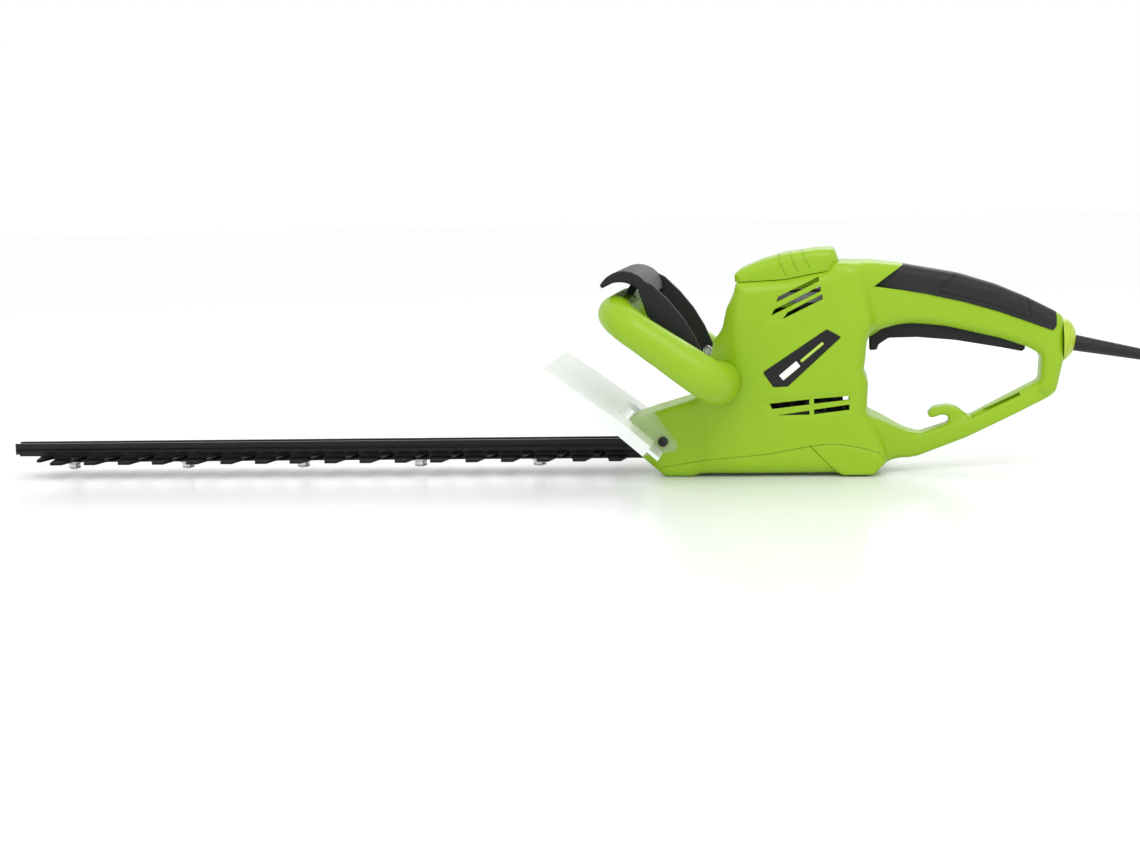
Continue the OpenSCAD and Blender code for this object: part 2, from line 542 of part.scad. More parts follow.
// Guide bar: an extrusion with a channel on top for the bolt heads and a groove on each side
channel_half_w = 5.4;
channel_floor = bar_z + 3.6;
bar_end_x = 146;
bar_profile = let(w = bar_w / 2, g = bar_z + 4.2) [[-w, bar_z], [w, bar_z], [w, g], [w - 0.8, g + 0.4], [w - 0.8, g + 1.2], [w, g + 1.6],
    [w, bar_top - 0.8], [w - 0.8, bar_top], [channel_half_w, bar_top], [channel_half_w, channel_floor],
    [-channel_half_w, channel_floor], [-channel_half_w, bar_top], [-w + 0.8, bar_top], [-w, bar_top - 0.8], [-w, g + 1.6],
    [-w + 0.8, g + 1.2], [-w + 0.8, g + 0.4], [-w, g]];
bar_screw_x = [116, 136];
module guide_bar() color(black) difference() {
    translate([nose_x, 0, 0]) rotate([90, 0, 90]) linear_extrude(bar_end_x - nose_x) polygon(bar_profile);
    for (i = [0:bolt_count - 1]) rod_z(bolt_x(i), 0, bolt_d / 2 + screw_fit, bar_z - 1, bar_top);
    for (x = bar_screw_x) rod_z(x, 0, screw_r + screw_fit, bar_z + 0.4, bar_top + 1);
    translate([nose_x - 1, -bar_w, bar_z - 1]) rotate([0, 45, 0]) cube([4, 2 * bar_w, 6], center = false);
    translate([nose_x, 0, bar_z - 1]) difference() {
        translate([-1, -bar_w, 0]) cube([6, 2 * bar_w, bar_h + 2]);
        translate([bar_w, 0, -1]) cylinder(r = bar_w, h = bar_h + 4);
    }
}

// A blade: spine, teeth on both edges, slots for the bolts and a yoke round its eccentric
yoke_x = eccentric_r + yoke_slack;
yoke_y = eccentric_r + half_stroke + yoke_side_gap;
root_spread = 6.6;
// One edge of a blade from its tip to its first tooth
function teeth(first_x, w) = [for (k = [0:tooth_count - 1]) let(x = first_x - (tooth_count - 1 - k) * tooth_pitch,
    base = min(w + root_spread, tooth_pitch - 8) / 2) each [[x - base, spine_w / 2], [x - w / 2, tooth_reach],
    [x + w / 2, tooth_reach], [x + base, spine_w / 2]]];
// The edge goes on round the yoke of the eccentric
function blade_edge(first_x, w) = concat([[first_x - (tooth_count - 1) * tooth_pitch - 8, 5]], teeth(first_x, w),
    [[gear_x - yoke_x - 24, spine_w / 2], [gear_x - yoke_x - yoke_wall, yoke_y + yoke_wall],
    [gear_x + yoke_x + yoke_wall, yoke_y + yoke_wall]]);
function turned_back(p) = [for (i = [len(p) - 1:-1:0]) [p[i][0], -p[i][1]]];
module blade_2d(first_x, w) difference() {
    polygon(concat(blade_edge(first_x, w), turned_back(blade_edge(first_x, w))));
    for (i = [0:bolt_count - 1]) {
        reach = half_stroke + 0.5;
        translate([bolt_x(i) - reach, -bolt_d / 2 - 0.1]) square([2 * reach, bolt_d + 0.2]);
        for (k = [-1, 1]) translate([bolt_x(i) + k * reach, 0]) circle(r = bolt_d / 2 + 0.1);
    }
    translate([gear_x - yoke_x, -yoke_y]) square([2 * yoke_x, 2 * yoke_y]);
    for (x = bar_screw_x) translate([x, 0]) circle(r = 1);
}
module upper_blade() color(steel) translate([0, 0, upper_blade_z]) linear_extrude(blade_t) blade_2d(pointed_x(0), pointed_w);
module lower_blade() color(steel) translate([0, 0, lower_blade_z]) linear_extrude(blade_t) blade_2d(blunt_x(0), blunt_w);
shoulder_z = lower_blade_z - 0.2;
washer_t = 1.2;
nut_h = 4.6;
bolt_tip_z = shoulder_z - washer_t - nut_h - 0.6;
module blade_bolts() color(steel) for (i = [0:bolt_count - 1]) {
    rod_z(bolt_x(i), 0, 5, channel_floor, channel_floor + 3.6);
    rod_z(bolt_x(i), 0, bolt_d / 2, shoulder_z, channel_floor);
    rod_z(bolt_x(i), 0, 2.5, bolt_tip_z, shoulder_z);
}
module blade_washers() color(steel) for (i = [0:bolt_count - 1])
    ring_z(bolt_x(i), 0, 7, 2.5 + screw_fit, shoulder_z - washer_t, shoulder_z);
module blade_nuts() color(steel) for (i = [0:bolt_count - 1]) difference() {
    rod_z(bolt_x(i), 0, 5.2, shoulder_z - washer_t - nut_h, shoulder_z - washer_t, $fn = 6);
    rod_z(bolt_x(i), 0, 2.5 + screw_fit, bolt_tip_z - 1, shoulder_z);
}
module bar_screws() color(steel) for (x = bar_screw_x) {
    rod_z(x, 0, 3.6, plate_up_z + plate_up_t, plate_up_z + plate_up_t + 1.6);
    rod_z(x, 0, screw_r, bar_z + 0.5, plate_up_z + plate_up_t);
}

// Gear case: two plates on four posts, with the seats of the bearings
bearing_z = plate_up_z + plate_up_t - bearing_w;
module gear_plate_upper() color([0.66, 0.67, 0.68]) difference() {
    union() {
        translate([posts_x[0] - 8, -nose_half_w + 4, plate_up_z]) cube([posts_x[1] - posts_x[0] + 16, 2 * nose_half_w - 8, plate_up_t]);
        translate([tongue_x, -tongue_half_w, bar_top]) cube([posts_x[0] - tongue_x, 2 * tongue_half_w, plate_up_z + plate_up_t - bar_top]);
    }
    rod_z(gear_x, 0, bearing_r, bearing_z, plate_up_z + plate_up_t + 1);
    rod_z(motor_x, 0, motor_bearing_r, plate_up_z + plate_up_t - motor_bearing_w, plate_up_z + plate_up_t + 1);
    rod_z(gear_x, 0, gear_shaft_r + 1, plate_up_z - 1, bearing_z + 1);
    rod_z(motor_x, 0, shaft_r + 1, plate_up_z - 1, plate_up_z + plate_up_t);
    for (x = bar_screw_x) rod_z(x, 0, screw_r + screw_fit, bar_top - 1, plate_up_z + plate_up_t + 1);
}
low_bearing_r = 7;
module gear_plate_lower() color([0.66, 0.67, 0.68]) difference() {
    translate([posts_x[0] - 6, -28, plate_low_z]) cube([posts_x[1] - posts_x[0] + 12, 56, plate_low_t]);
    rod_z(gear_x, 0, low_bearing_r, plate_low_z - 1, plate_low_z + plate_low_t + 1);
}
module gear_posts() color(steel) for (x = posts_x) for (y = [-post_half_y, post_half_y])
    rod_z(x, y, post_r, plate_low_z + plate_low_t, plate_up_z);

// Involute teeth: flanks start at the base circle and run to the tip, with a radial flank below
pressure = 20;
function involute_angle(rb, r) = r <= rb ? 0 : let(a = acos(rb / r)) tan(a) * 180 / PI - a;
function flank(rb, half, root, tip, n = 5) = concat([[root, half]], [for (i = [0:n]) let(r = max(rb, root) + (tip - max(rb, root)) * i / n)
    [r, half - involute_angle(rb, r)]]);
function gear_points(teeth, root, tip, backlash) = let(rp = gear_module * teeth / 2, rb = rp * cos(pressure),
    half = 90 / teeth + involute_angle(rb, rp) - backlash / rp * 90 / PI, side = flank(rb, half, root, tip)) [for (i = [0:teeth - 1]) each concat(
        [for (p = side) let(a = 360 * i / teeth - p[1]) p[0] * [cos(a), sin(a)]],
        [for (k = [len(side) - 1:-1:0]) let(p = side[k], a = 360 * i / teeth + p[1]) p[0] * [cos(a), sin(a)]])];
gear_addendum = 0.7 * gear_module;
pinion_addendum = gear_module;
tip_clearance = 0.3 * gear_module;
gear_tip = gear_module * gear_teeth / 2 + gear_addendum;
pinion_tip = gear_module * pinion_teeth / 2 + pinion_addendum;
tooth_play = 0.12;
module gear_2d() polygon(gear_points(gear_teeth, centre_distance - pinion_tip - tip_clearance, gear_tip, tooth_play));
module pinion_2d() rotate(180 + 180 / pinion_teeth) polygon(gear_points(pinion_teeth, centre_distance - gear_tip - tip_clearance, pinion_tip, tooth_play));
module drive_gear() color(steel) translate([gear_x, 0, gear_z]) difference() {
    union() {
        linear_extrude(gear_w) gear_2d();
        translate([0, 0, gear_w]) cylinder(r = 10, h = 2);
    }
    translate([0, 0, -1]) cylinder(r = gear_shaft_r, h = gear_w + 4);
    for (a = [0:60:300]) rotate(a) translate([20, 0, -1]) cylinder(r = 5, h = gear_w + 2);
}
shaft_low_z = plate_low_z + 0.2;
low_journal_r = 4;
module gear_shaft() color(steel) union() {
    rod_z(gear_x, 0, low_journal_r, shaft_low_z, lower_blade_z);
    rod_z(gear_x, 0, gear_shaft_r, lower_blade_z, bearing_z + bearing_w);
}
module eccentric(y, z0, z1, top) difference() {
    union() {
        rod_z(gear_x, y, eccentric_r, z0, z1);
        if (top > z1) rod_z(gear_x, 0, 9, z1, top);
    }
    rod_z(gear_x, 0, gear_shaft_r, z0 - 1, max(top, z1) + 1);
}
eccentric_split = upper_blade_z - blade_gap / 2;
module upper_eccentric() color(steel) eccentric(half_stroke, eccentric_split, upper_blade_z + blade_t, gear_z);
module lower_eccentric() color(steel) eccentric(-half_stroke, lower_blade_z, eccentric_split, 0);
module gear_bearings() color(steel) {
    ring_z(gear_x, 0, bearing_r, gear_shaft_r + run_fit, bearing_z, bearing_z + bearing_w);
    ring_z(gear_x, 0, low_bearing_r, low_journal_r + run_fit, plate_low_z, plate_low_z + plate_low_t);
}

// Motor: everything on the shaft turns about the upright axis at motor_x
shaft_top = end_plate_z + motor_bearing_w;
module armature_shaft() color(steel) rod_z(motor_x, 0, shaft_r, gear_z - 1, shaft_top);
module pinion() color(steel) translate([motor_x, 0, gear_z - 0.5]) difference() {
    linear_extrude(gear_w + 1) pinion_2d();
    translate([0, 0, -1]) cylinder(r = shaft_r, h = gear_w + 4);
}
core_slots = 12;
module armature_core() color(steel) difference() {
    rod_z(motor_x, 0, armature_core_r, armature_z, armature_z + stator_h);
    rod_z(motor_x, 0, shaft_r, armature_z - 1, armature_z + stator_h + 1);
    for (i = [0:core_slots - 1]) translate([motor_x, 0, armature_z - 1]) rotate(360 * i / core_slots)
        translate([armature_core_r - 5, -1, 0]) cube([6, 2, stator_h + 2]);
}
module armature_windings() color(copper) {
    ring_z(motor_x, 0, winding_r, shaft_r, armature_z - winding_h, armature_z);
    ring_z(motor_x, 0, winding_r, shaft_r, armature_z + stator_h, armature_z + stator_h + winding_h);
}
module commutator() color(copper) difference() {
    union() {
        ring_z(motor_x, 0, commutator_r, shaft_r, commutator_z, commutator_z + commutator_h);
        ring_z(motor_x, 0, commutator_r + 1.5, shaft_r, armature_z + stator_h + winding_h, commutator_z);
    }
    for (i = [0:23]) translate([motor_x, 0, commutator_z + 1]) rotate(15 * i)
        translate([commutator_r - 1, -0.3, 0]) cube([2, 0.6, commutator_h]);
}
fan_blades = 12;
module fan() color([0.2, 0.2, 0.2]) {
    ring_z(motor_x, 0, fan_r, shaft_r, fan_z, fan_z + 2);
    ring_z(motor_x, 0, 8, shaft_r, fan_z + 2, fan_z + fan_h);
    for (i = [0:fan_blades - 1]) translate([motor_x, 0, fan_z + 2]) rotate(360 * i / fan_blades)
        translate([7.8, -0.8, 0]) cube([fan_r - 9, 1.6, fan_h - 2]);
}
module motor_bearings() color(steel) {
    ring_z(motor_x, 0, motor_bearing_r, shaft_r + run_fit, plate_up_z + plate_up_t - motor_bearing_w, plate_up_z + plate_up_t);
    ring_z(motor_x, 0, motor_bearing_r, shaft_r + run_fit, end_plate_z, end_plate_z + motor_bearing_w);
}
module motor_end_plate() color([0.25, 0.25, 0.26]) difference() {
    translate([motor_x - 22, -27, end_plate_z]) cube([44, 54, end_plate_t]);
    rod_z(motor_x, 0, motor_bearing_r, end_plate_z - 1, end_plate_z + motor_bearing_w);
}
pole_gap = 0.6;
module stator() color(steel) difference() {
    rod_z(motor_x, 0, stator_r, stator_z, stator_z + stator_h);
    rod_z(motor_x, 0, armature_r + pole_gap, stator_z - 1, stator_z + stator_h + 1);
    for (s = [-1, 1]) translate([motor_x + s * 18.5 - 6, -14, stator_z - 1]) cube([12, 28, stator_h + 2]);
}
module field_coils() color(copper) for (s = [-1, 1]) difference() {
    translate([motor_x + s * 20.5 - 3.5, -13.5, stator_z - coil_h]) cube([7, 27, stator_h + 2 * coil_h]);
    rod_z(motor_x, 0, armature_r + pole_gap, stator_z - coil_h - 1, stator_z + stator_h + coil_h + 1);
}
holder_in = commutator_r + 1.5;
holder_out = 30;
module brush_holders() color(black) for (s = [-1, 1]) difference() {
    translate([motor_x - 6, s > 0 ? holder_in : -holder_out, brush_z - 5.5]) cube([12, holder_out - holder_in, 11 + end_plate_z - brush_z - 5.5]);
    translate([motor_x - brush_half - 0.1, s > 0 ? holder_in - 1 : -holder_out + 1.5, brush_z - brush_half - 0.1])
        cube([2 * brush_half + 0.2, holder_out - holder_in - 0.5, 2 * brush_half + 0.2]);
}
brush_out = 21;
module brushes() color([0.12, 0.12, 0.13]) for (s = [-1, 1])
    translate([motor_x - brush_half, s > 0 ? commutator_r + 0.1 : -brush_out, brush_z - brush_half])
        cube([2 * brush_half, brush_out - commutator_r - 0.1, 2 * brush_half]);
module brush_springs() color(steel) for (s = [-1, 1])
    translate([motor_x, s > 0 ? brush_out : -holder_out + 1.5, brush_z]) rotate([-90, 0, 0]) coil(2.2, 0.3, holder_out - 1.5 - brush_out, 5);

module capacitor() color([0.85, 0.72, 0.2]) translate([sx(303), -8, 141.5]) cube([18, 14, 5]);
// A thin lead swept along points
function sweep_pts(path, r, sides) = [for (i = [0:len(path) - 1]) let(n = len(path), t = unit(path[min(i + 1, n - 1)] - path[max(i - 1, 0)]),
    ref = abs(t[2]) > 0.9 ? [0, 1, 0] : [0, 0, 1], u = unit(cross(t, ref)), v = cross(u, t))
    for (k = [0:sides - 1]) path[i] + u * r * cos(360 * k / sides) + v * r * sin(360 * k / sides)];
module sweep(path, r, sides = 8) {
    n = len(path);
    polyhedron(sweep_pts(path, r, sides), concat([[for (k = [sides - 1:-1:0]) k]], [[for (k = [0:sides - 1]) (n - 1) * sides + k]],
        [for (i = [0:n - 2]) for (k = [0:sides - 1]) let(a = i * sides + k, b = i * sides + (k + 1) % sides)
            each [[a, b, b + sides], [a, b + sides, a + sides]]]));
}
// Smooth curve through hand-set points
function spline(p, n) = [for (i = [0:len(p) - 2]) for (k = [0:n - 1]) let(t = k / n, a = p[max(i - 1, 0)], b = p[i], c = p[i + 1],
    d = p[min(i + 2, len(p) - 1)]) 0.5 * (2 * b + (c - a) * t + (2 * a - 5 * b + 4 * c - d) * t * t + (3 * b - a - 3 * c + d) * t * t * t)];
function curve(p, n) = concat(spline(p, n), [p[len(p) - 1]]);
module inner_leads() color([0.3, 0.3, 0.32]) for (s = [-1, 1]) sweep(curve([[sx(391.4), s * 1.5, 103.8], [sx(388), s * 8.5, 108.5], [sx(380), s * 10, 118], [sx(370), s * 9.5, 128.5],
    [sx(361), s * 8, 138.4], [sx(352), s * 5, 143.1], [sx(336), s * 4, 147.6], [sx(318), s * 3, 149], [290, s * 5, 152],
    [262, s * 8, 148], [motor_x + 26, s * 12, 142.6]], 3), 1);

// Cord outlet: a cap, a bend relief that leans down, and a clamp behind it
outlet = [sx(412), 0, 99.6];
outlet_lean = 11;
outlet_len = 12;
module at_outlet() translate(outlet) rotate([0, 90 + outlet_lean, 0]) children();
relief_r = 6.2;
module outlet_space() at_outlet() translate([0, 0, -14]) cylinder(r = relief_r + screw_fit, h = 40);
module outlet_cap() color(pale_green) difference() {
    at_outlet() rotate_extrude($fn = 64) polygon(rounded([[relief_r + screw_fit, 0], [17, 0], [17, 3.5, 3], [13, 9, 4], [8.6, outlet_len, 1], [relief_r + screw_fit, outlet_len]]));
    slab(rounded(handle_outline), -handle_half_w, handle_half_w);
}
relief_end_r = 4;
module bend_relief() color(black) at_outlet() rotate_extrude($fn = 40) polygon([[0, -20], [3.5, -20], [3.5, -8], [9, -8], [9, -5.5], [relief_r, -5.5], [relief_r, outlet_len],
    [relief_end_r, outlet_len + relief_len], [0, outlet_len + relief_len]]);
module cable_clamp() color(black) translate([sx(396.4), 0, 0]) difference() {
    translate([0, -12, 97.2]) cube([5, 24, 9.6]);
    translate([-1, 0, 102.15]) rotate([0, 90, 0]) cylinder(r = 4.5, h = 8);
    for (s = [-1, 1]) translate([2.5, s * 8.6, 96]) cylinder(r = 1.4, h = 12);
}
module clamp_screws() color(steel) for (s = [-1, 1]) translate([sx(396.4) + 2.5, s * 8.6, 97.4]) {
    cylinder(r = 1.38, h = 9.4);
    translate([0, 0, 9.4]) cylinder(r = 2.6, h = 1.6);
}

// Route of the free cord, from the tip of the bend relief down to the floor and round to the plug
relief_tip = outlet + (outlet_len + relief_len) * [cos(outlet_lean), 0, -sin(outlet_lean)];
cord_turns = [[516.5, 0, 74], [532, 0, 57], [543, 1, 40], [554, 4, 22], [567, 9, 9], [583, 15, 4], [600, 23, 3.6],
    [614, 35, 3.6], [623, 51, 3.6], [625, 69, 3.6], [620, 87, 3.6], [609, 103, 3.6], [596, 117, 3.6], [584, 132, 3.6]];
cord_route = concat([relief_tip, relief_tip + 17 * [cos(outlet_lean), 0, -sin(outlet_lean)]], [for (p = cord_turns) p + [handle_len - 146, 0, 0]]);
cord_end = cord_route[len(cord_route) - 1];
cord_heading = unit(cord_end - cord_route[len(cord_route) - 2]);
module cord() color(black) sweep(cord_route, cord_d / 2);
plug_len = 44;
module at_plug() translate(cord_end) rotate([0, 0, atan2(cord_heading[1], cord_heading[0])]) children();
module plug_body() color(black) at_plug() {
    rotate([0, 90, 0]) cylinder(r = cord_d / 2, h = 6);
    translate([6, 0, 0]) linear_extrude(12.4, center = false) polygon(rounded([[0, -6, 3], [12, -9, 6], [30, -17, 5], [38, -17, 2], [38, 17, 2], [30, 17, 5],
        [12, 9, 6], [0, 6, 3]]));
    translate([6, 0, -3.4]) linear_extrude(3.5) polygon(rounded([[0, -6, 3], [12, -9, 6], [30, -16, 5], [37, -16, 2], [37, 16, 2], [30, 16, 5],
        [12, 9, 6], [0, 6, 3]]));
}
module plug_pins() color(steel) at_plug() for (s = [-1, 1])
    translate([plug_len, s * 9.5, 4.5]) rotate([0, 90, 0]) cylinder(r = 2.4, h = 19);

left_housing();
right_housing();
top_cover();
housing_screws();
badge_plate();
soft_grip();
rear_trigger();
trigger_pin();
trigger_spring();
rear_switch();
rear_switch_button();
front_handle_upper();
front_handle_lower();
front_handle_screws();
front_lever();
lever_pins();
lever_springs();
front_switch();
front_switch_button();
hand_guard();
guard_screws();
guide_bar();
upper_blade();
lower_blade();
blade_bolts();
blade_washers();
blade_nuts();
bar_screws();
gear_plate_upper();
gear_plate_lower();
gear_posts();
drive_gear();
gear_shaft();
upper_eccentric();
lower_eccentric();
gear_bearings();
armature_shaft();
pinion();
armature_core();
armature_windings();
commutator();
fan();
motor_bearings();
motor_end_plate();
stator();
field_coils();
brush_holders();
brushes();
brush_springs();
capacitor();
inner_leads();
cable_clamp();
clamp_screws();
outlet_cap();
bend_relief();
cord();
plug_body();
plug_pins();
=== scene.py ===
"""Looks of a mains hedge trimmer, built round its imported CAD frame."""

import math

import bmesh
import bpy
from bpy.props import FloatProperty, FloatVectorProperty, PointerProperty
from mathutils import Matrix, Vector


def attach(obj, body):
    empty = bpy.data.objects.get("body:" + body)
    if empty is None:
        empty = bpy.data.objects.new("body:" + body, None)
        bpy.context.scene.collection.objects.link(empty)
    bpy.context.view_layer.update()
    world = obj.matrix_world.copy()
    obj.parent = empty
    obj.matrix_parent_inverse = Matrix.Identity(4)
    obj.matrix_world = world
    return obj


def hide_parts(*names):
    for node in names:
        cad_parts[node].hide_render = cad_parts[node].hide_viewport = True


bl_info = {
    "name": "Hedge Trimmer",
    "version": (1, 0, 0),
    "blender": (4, 5, 0),
    "location": "3D View > Sidebar > Trimmer",
    "description": "Builds the shells, cutter, handles, guard and lead of a hedge trimmer",
    "category": "Object",
}

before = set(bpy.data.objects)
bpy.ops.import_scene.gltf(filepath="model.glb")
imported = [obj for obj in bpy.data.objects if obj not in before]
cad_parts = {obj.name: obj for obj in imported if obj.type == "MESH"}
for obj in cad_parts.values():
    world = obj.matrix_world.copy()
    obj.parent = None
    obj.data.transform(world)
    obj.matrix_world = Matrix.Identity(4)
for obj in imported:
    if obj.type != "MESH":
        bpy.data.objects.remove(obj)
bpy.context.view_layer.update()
MM = 0.001
MERGE = 2e-6


def srgb(red, green, blue):
    """Turn a colour of 0 to 255 into a linear one."""
    return tuple(
        (c / 255 / 12.92) if c < 10 else ((c / 255 + 0.055) / 1.055) ** 2.4
        for c in (red, green, blue)
    ) + (1,)


class TRIMMER_PG_housing(bpy.types.PropertyGroup):
    """Sizes and colour of the green shells."""

    body_edge: FloatProperty(
        name="Body edge radius",
        description="Rounding of the motor housing's outer edges",
        default=10 * MM, min=6 * MM, max=12 * MM, unit="LENGTH",
    )
    detail: FloatProperty(
        name="Shell detail",
        description="Size of the smallest moulded detail of the shells",
        default=1.1 * MM, min=0.9 * MM, max=2.5 * MM, unit="LENGTH",
    )
    parting: FloatProperty(
        name="Parting gap",
        description="Gap from the middle plane to each half of the housing",
        default=0.12 * MM, min=0.05 * MM, max=0.3 * MM, unit="LENGTH",
    )
    green: FloatVectorProperty(
        name="Green", description="Colour of the moulded housing",
        default=srgb(144, 183, 24), size=4, min=0, max=1, subtype="COLOR",
    )


class TRIMMER_PG_handles(bpy.types.PropertyGroup):
    """Sizes and colours of the handles, lever and trigger."""

    groove_pitch: FloatProperty(
        name="Finger groove pitch",
        description="Distance from one groove of the front handle to the next",
        default=7 * MM, min=5 * MM, max=12 * MM, unit="LENGTH",
    )
    groove_depth: FloatProperty(
        name="Finger groove depth",
        description="Depth of a groove in the front handle's grip",
        default=0.9 * MM, min=0.2 * MM, max=1.4 * MM, unit="LENGTH",
    )
    black: FloatVectorProperty(
        name="Black", description="Colour of the levers and the grip",
        default=srgb(18, 18, 19), size=4, min=0, max=1, subtype="COLOR",
    )


class TRIMMER_PG_cutter(bpy.types.PropertyGroup):
    """Sizes and colours of the bar and the blades."""

    edge_break: FloatProperty(
        name="Edge break",
        description="Width of the small bevel on the blades' and bar's edges",
        default=0.35 * MM, min=0.1 * MM, max=0.6 * MM, unit="LENGTH",
    )
    coating: FloatVectorProperty(
        name="Coating", description="Colour of the bar's and blades' coating",
        default=srgb(24, 24, 25), size=4, min=0, max=1, subtype="COLOR",
    )


class TRIMMER_PG_stage(bpy.types.PropertyGroup):
    """Floor and light."""

    floor_tint: FloatVectorProperty(
        name="Floor", description="Colour of the floor",
        default=srgb(246, 247, 247), size=4, min=0, max=1, subtype="COLOR",
    )
    key_power: FloatProperty(
        name="Key light", description="Power of the large soft light",
        default=14, min=0, max=400, unit="POWER",
    )


# ---------------------------------------------------------------- outlines

def corner(point):
    return Vector((point[0], point[1]))


def anticlockwise(points):
    area = sum(
        a[0] * b[1] - b[0] * a[1]
        for a, b in zip(points, points[1:] + points[:1])
    )
    return points if area > 0 else points[::-1]


def inset(outline, distance):
    """Move an outline of (x, z, radius) corners inward."""
    points = anticlockwise(list(outline))
    moved = []
    for i, point in enumerate(points):
        b = corner(point)
        before = (b - corner(points[i - 1])).normalized()
        after = (corner(points[(i + 1) % len(points)]) - b).normalized()
        m = Vector((-before.y, before.x))
        k = Vector((-after.y, after.x))
        v = b + (m + k) * distance / (1 + m.dot(k))
        turn = before.x * after.y - before.y * after.x
        radius = point[2] if len(point) > 2 else 0
        radius = max(radius - distance, 0) if turn > 0 else radius + distance
        moved.append((v.x, v.y, radius))
    return moved


def rounded(outline, steps=5):
    """Turn corners into points, the same number at every corner."""
    points = []
    for i, point in enumerate(outline):
        b = corner(point)
        back = corner(outline[i - 1]) - b
        on = corner(outline[(i + 1) % len(outline)]) - b
        radius = point[2] if len(point) > 2 else 0
        half = max(back.angle(on, math.pi) / 2, 0.02)
        reach = max(min(radius / max(math.tan(half), 1e-3), 0.46 * back.length, 0.46 * on.length), 0.02)
        start, end = b + back.normalized() * reach, b + on.normalized() * reach
        for k in range(steps + 1):
            t = k / steps
            p = start * (1 - t) ** 2 + b * 2 * t * (1 - t) + end * t * t
            points.append((p.x, p.y))
    return points


def thick(line, low, high):
    """Closed outline of a band from low to high beside a line."""
    sides = [[], []]
    for i, point in enumerate(line):
        way = (corner(line[min(i + 1, len(line) - 1)]) - corner(line[max(i - 1, 0)])).normalized()
        for reach, side in zip((low, high), sides):
            side.append(tuple(corner(point) + Vector((-way.y, way.x)) * reach))
    return sides[0] + sides[1][::-1]


def strip(line, width):
    """Closed outline of a thin band along a line."""
    return thick(line, width / 2, -width / 2)


def smooth_step(value, low, high):
    t = max(0.0, min(1.0, (value - low) / (high - low)))
    return t * t * (3 - 2 * t)


def eased(x, low, high, start, end):
    """Go smoothly from start to end while x goes from low to high."""
    return start + (end - start) * smooth_step(x, low, high)


def span(side, near, far):
    """Two distances from the middle plane as y values of one side, the lower one first."""
    return sorted((side * near, side * far))


# ------------------------------------------------------------ mesh making

def ring(bm, points):
    """Closed loop of edges through points in millimetres."""
    verts = [bm.verts.new(Vector(p) * MM) for p in points]
    return [bm.edges.new((verts[i - 1], verts[i])) for i in range(len(verts))]


def skin(bm, rings):
    """Bridge loops one after another and close the ends."""
    for first, second in zip(rings, rings[1:]):
        bmesh.ops.bridge_loops(bm, edges=first + second)
    bmesh.ops.edgeloop_fill(bm, edges=rings[0])
    bmesh.ops.edgeloop_fill(bm, edges=rings[-1])


def loft(bm, outline, y0, y1, radius=0.0, steps=5, corner_steps=5):
    """Solid between y0 and y1 from an x and z outline, with its rims rounded."""
    levels = []
    if radius > 0:
        turn = [math.pi / 2 * k / steps for k in range(steps + 1)]
        levels += [(radius * (1 - math.sin(a)), y0 + radius * (1 - math.cos(a))) for a in turn]
        levels += [(d, y0 + y1 - y) for d, y in reversed(levels)]
    else:
        levels = [(0, y0), (0, y1)]
    rings = []
    for distance, y in levels:
        shape = rounded(inset(outline, distance), corner_steps)
        rings.append(ring(bm, [(x, y, z) for x, z in shape]))
    skin(bm, rings)


def prism(bm, points, y0, y1):
    """Plain solid between y0 and y1 from x and z points."""
    skin(bm, [ring(bm, [(p[0], y, p[1]) for p in points]) for y in (y0, y1)])


def both_sides(bm, points, y0, y1):
    prism(bm, points, y0, y1)
    prism(bm, points, -y1, -y0)


def stick(bm, start, end, radius, radius_end=None, segments=32):
    """Cylinder or cone from start to end, in millimetres."""
    start, end = Vector(start), Vector(end)
    along = end - start
    turn = along.to_track_quat("Z", "Y").to_matrix().to_4x4()
    bmesh.ops.create_cone(
        bm, cap_ends=True, segments=segments, radius1=radius * MM,
        radius2=(radius if radius_end is None else radius_end) * MM,
        depth=along.length * MM, matrix=Matrix.Translation((start + end) / 2 * MM) @ turn,
    )


def rod(bm, spot, y0, y1, radius, segments=32):
    """Cylinder from y0 to y1 at an x and z spot."""
    stick(bm, (spot[0], y0, spot[1]), (spot[0], y1, spot[1]), radius, segments=segments)


def box(bm, low, high):
    low, high = Vector(low), Vector(high)
    place = Matrix.Translation((low + high) / 2 * MM) @ Matrix.Diagonal(((high - low) * MM).to_4d())
    place[3][3] = 1
    bmesh.ops.create_cube(bm, size=1, matrix=place)


def sections(bm, stations):
    """Solid skinned along x from rounded upright sections (x, z0, z1, half width, radius)."""
    rings = []
    for x, z0, z1, half, radius in stations:
        shape = [(-half, z0, radius), (half, z0, radius), (half, z1, radius), (-half, z1, radius)]
        rings.append(ring(bm, [(x, y, z) for y, z in rounded(shape, 6)]))
    skin(bm, rings)


def turned(bm, profile, origin, axis, segments=64):
    """Spin a profile of (radius, distance along the axis) round the axis."""
    axis = Vector(axis).normalized()
    side = axis.orthogonal().normalized()
    verts = [bm.verts.new((Vector(origin) + axis * d + side * r) * MM) for r, d in profile]
    edges = [bm.edges.new(pair) for pair in zip(verts, verts[1:])]
    if profile[0][0] > 0:
        edges.append(bm.edges.new((verts[-1], verts[0])))
    bmesh.ops.spin(
        bm, geom=verts + edges, cent=Vector(origin) * MM, axis=axis,
        angle=2 * math.pi, steps=segments, use_merge=True,
    )
    bmesh.ops.remove_doubles(bm, verts=bm.verts[:], dist=1e-6)


def placed(name, data):
    """Object that holds data, in the scene."""
    made = bpy.data.objects.new(name, data)
    bpy.context.scene.collection.objects.link(made)
    return made


def twin(source, name):
    return placed(name, source.data.copy())


def write_back(bm, mesh):
    bm.to_mesh(mesh)
    bm.free()


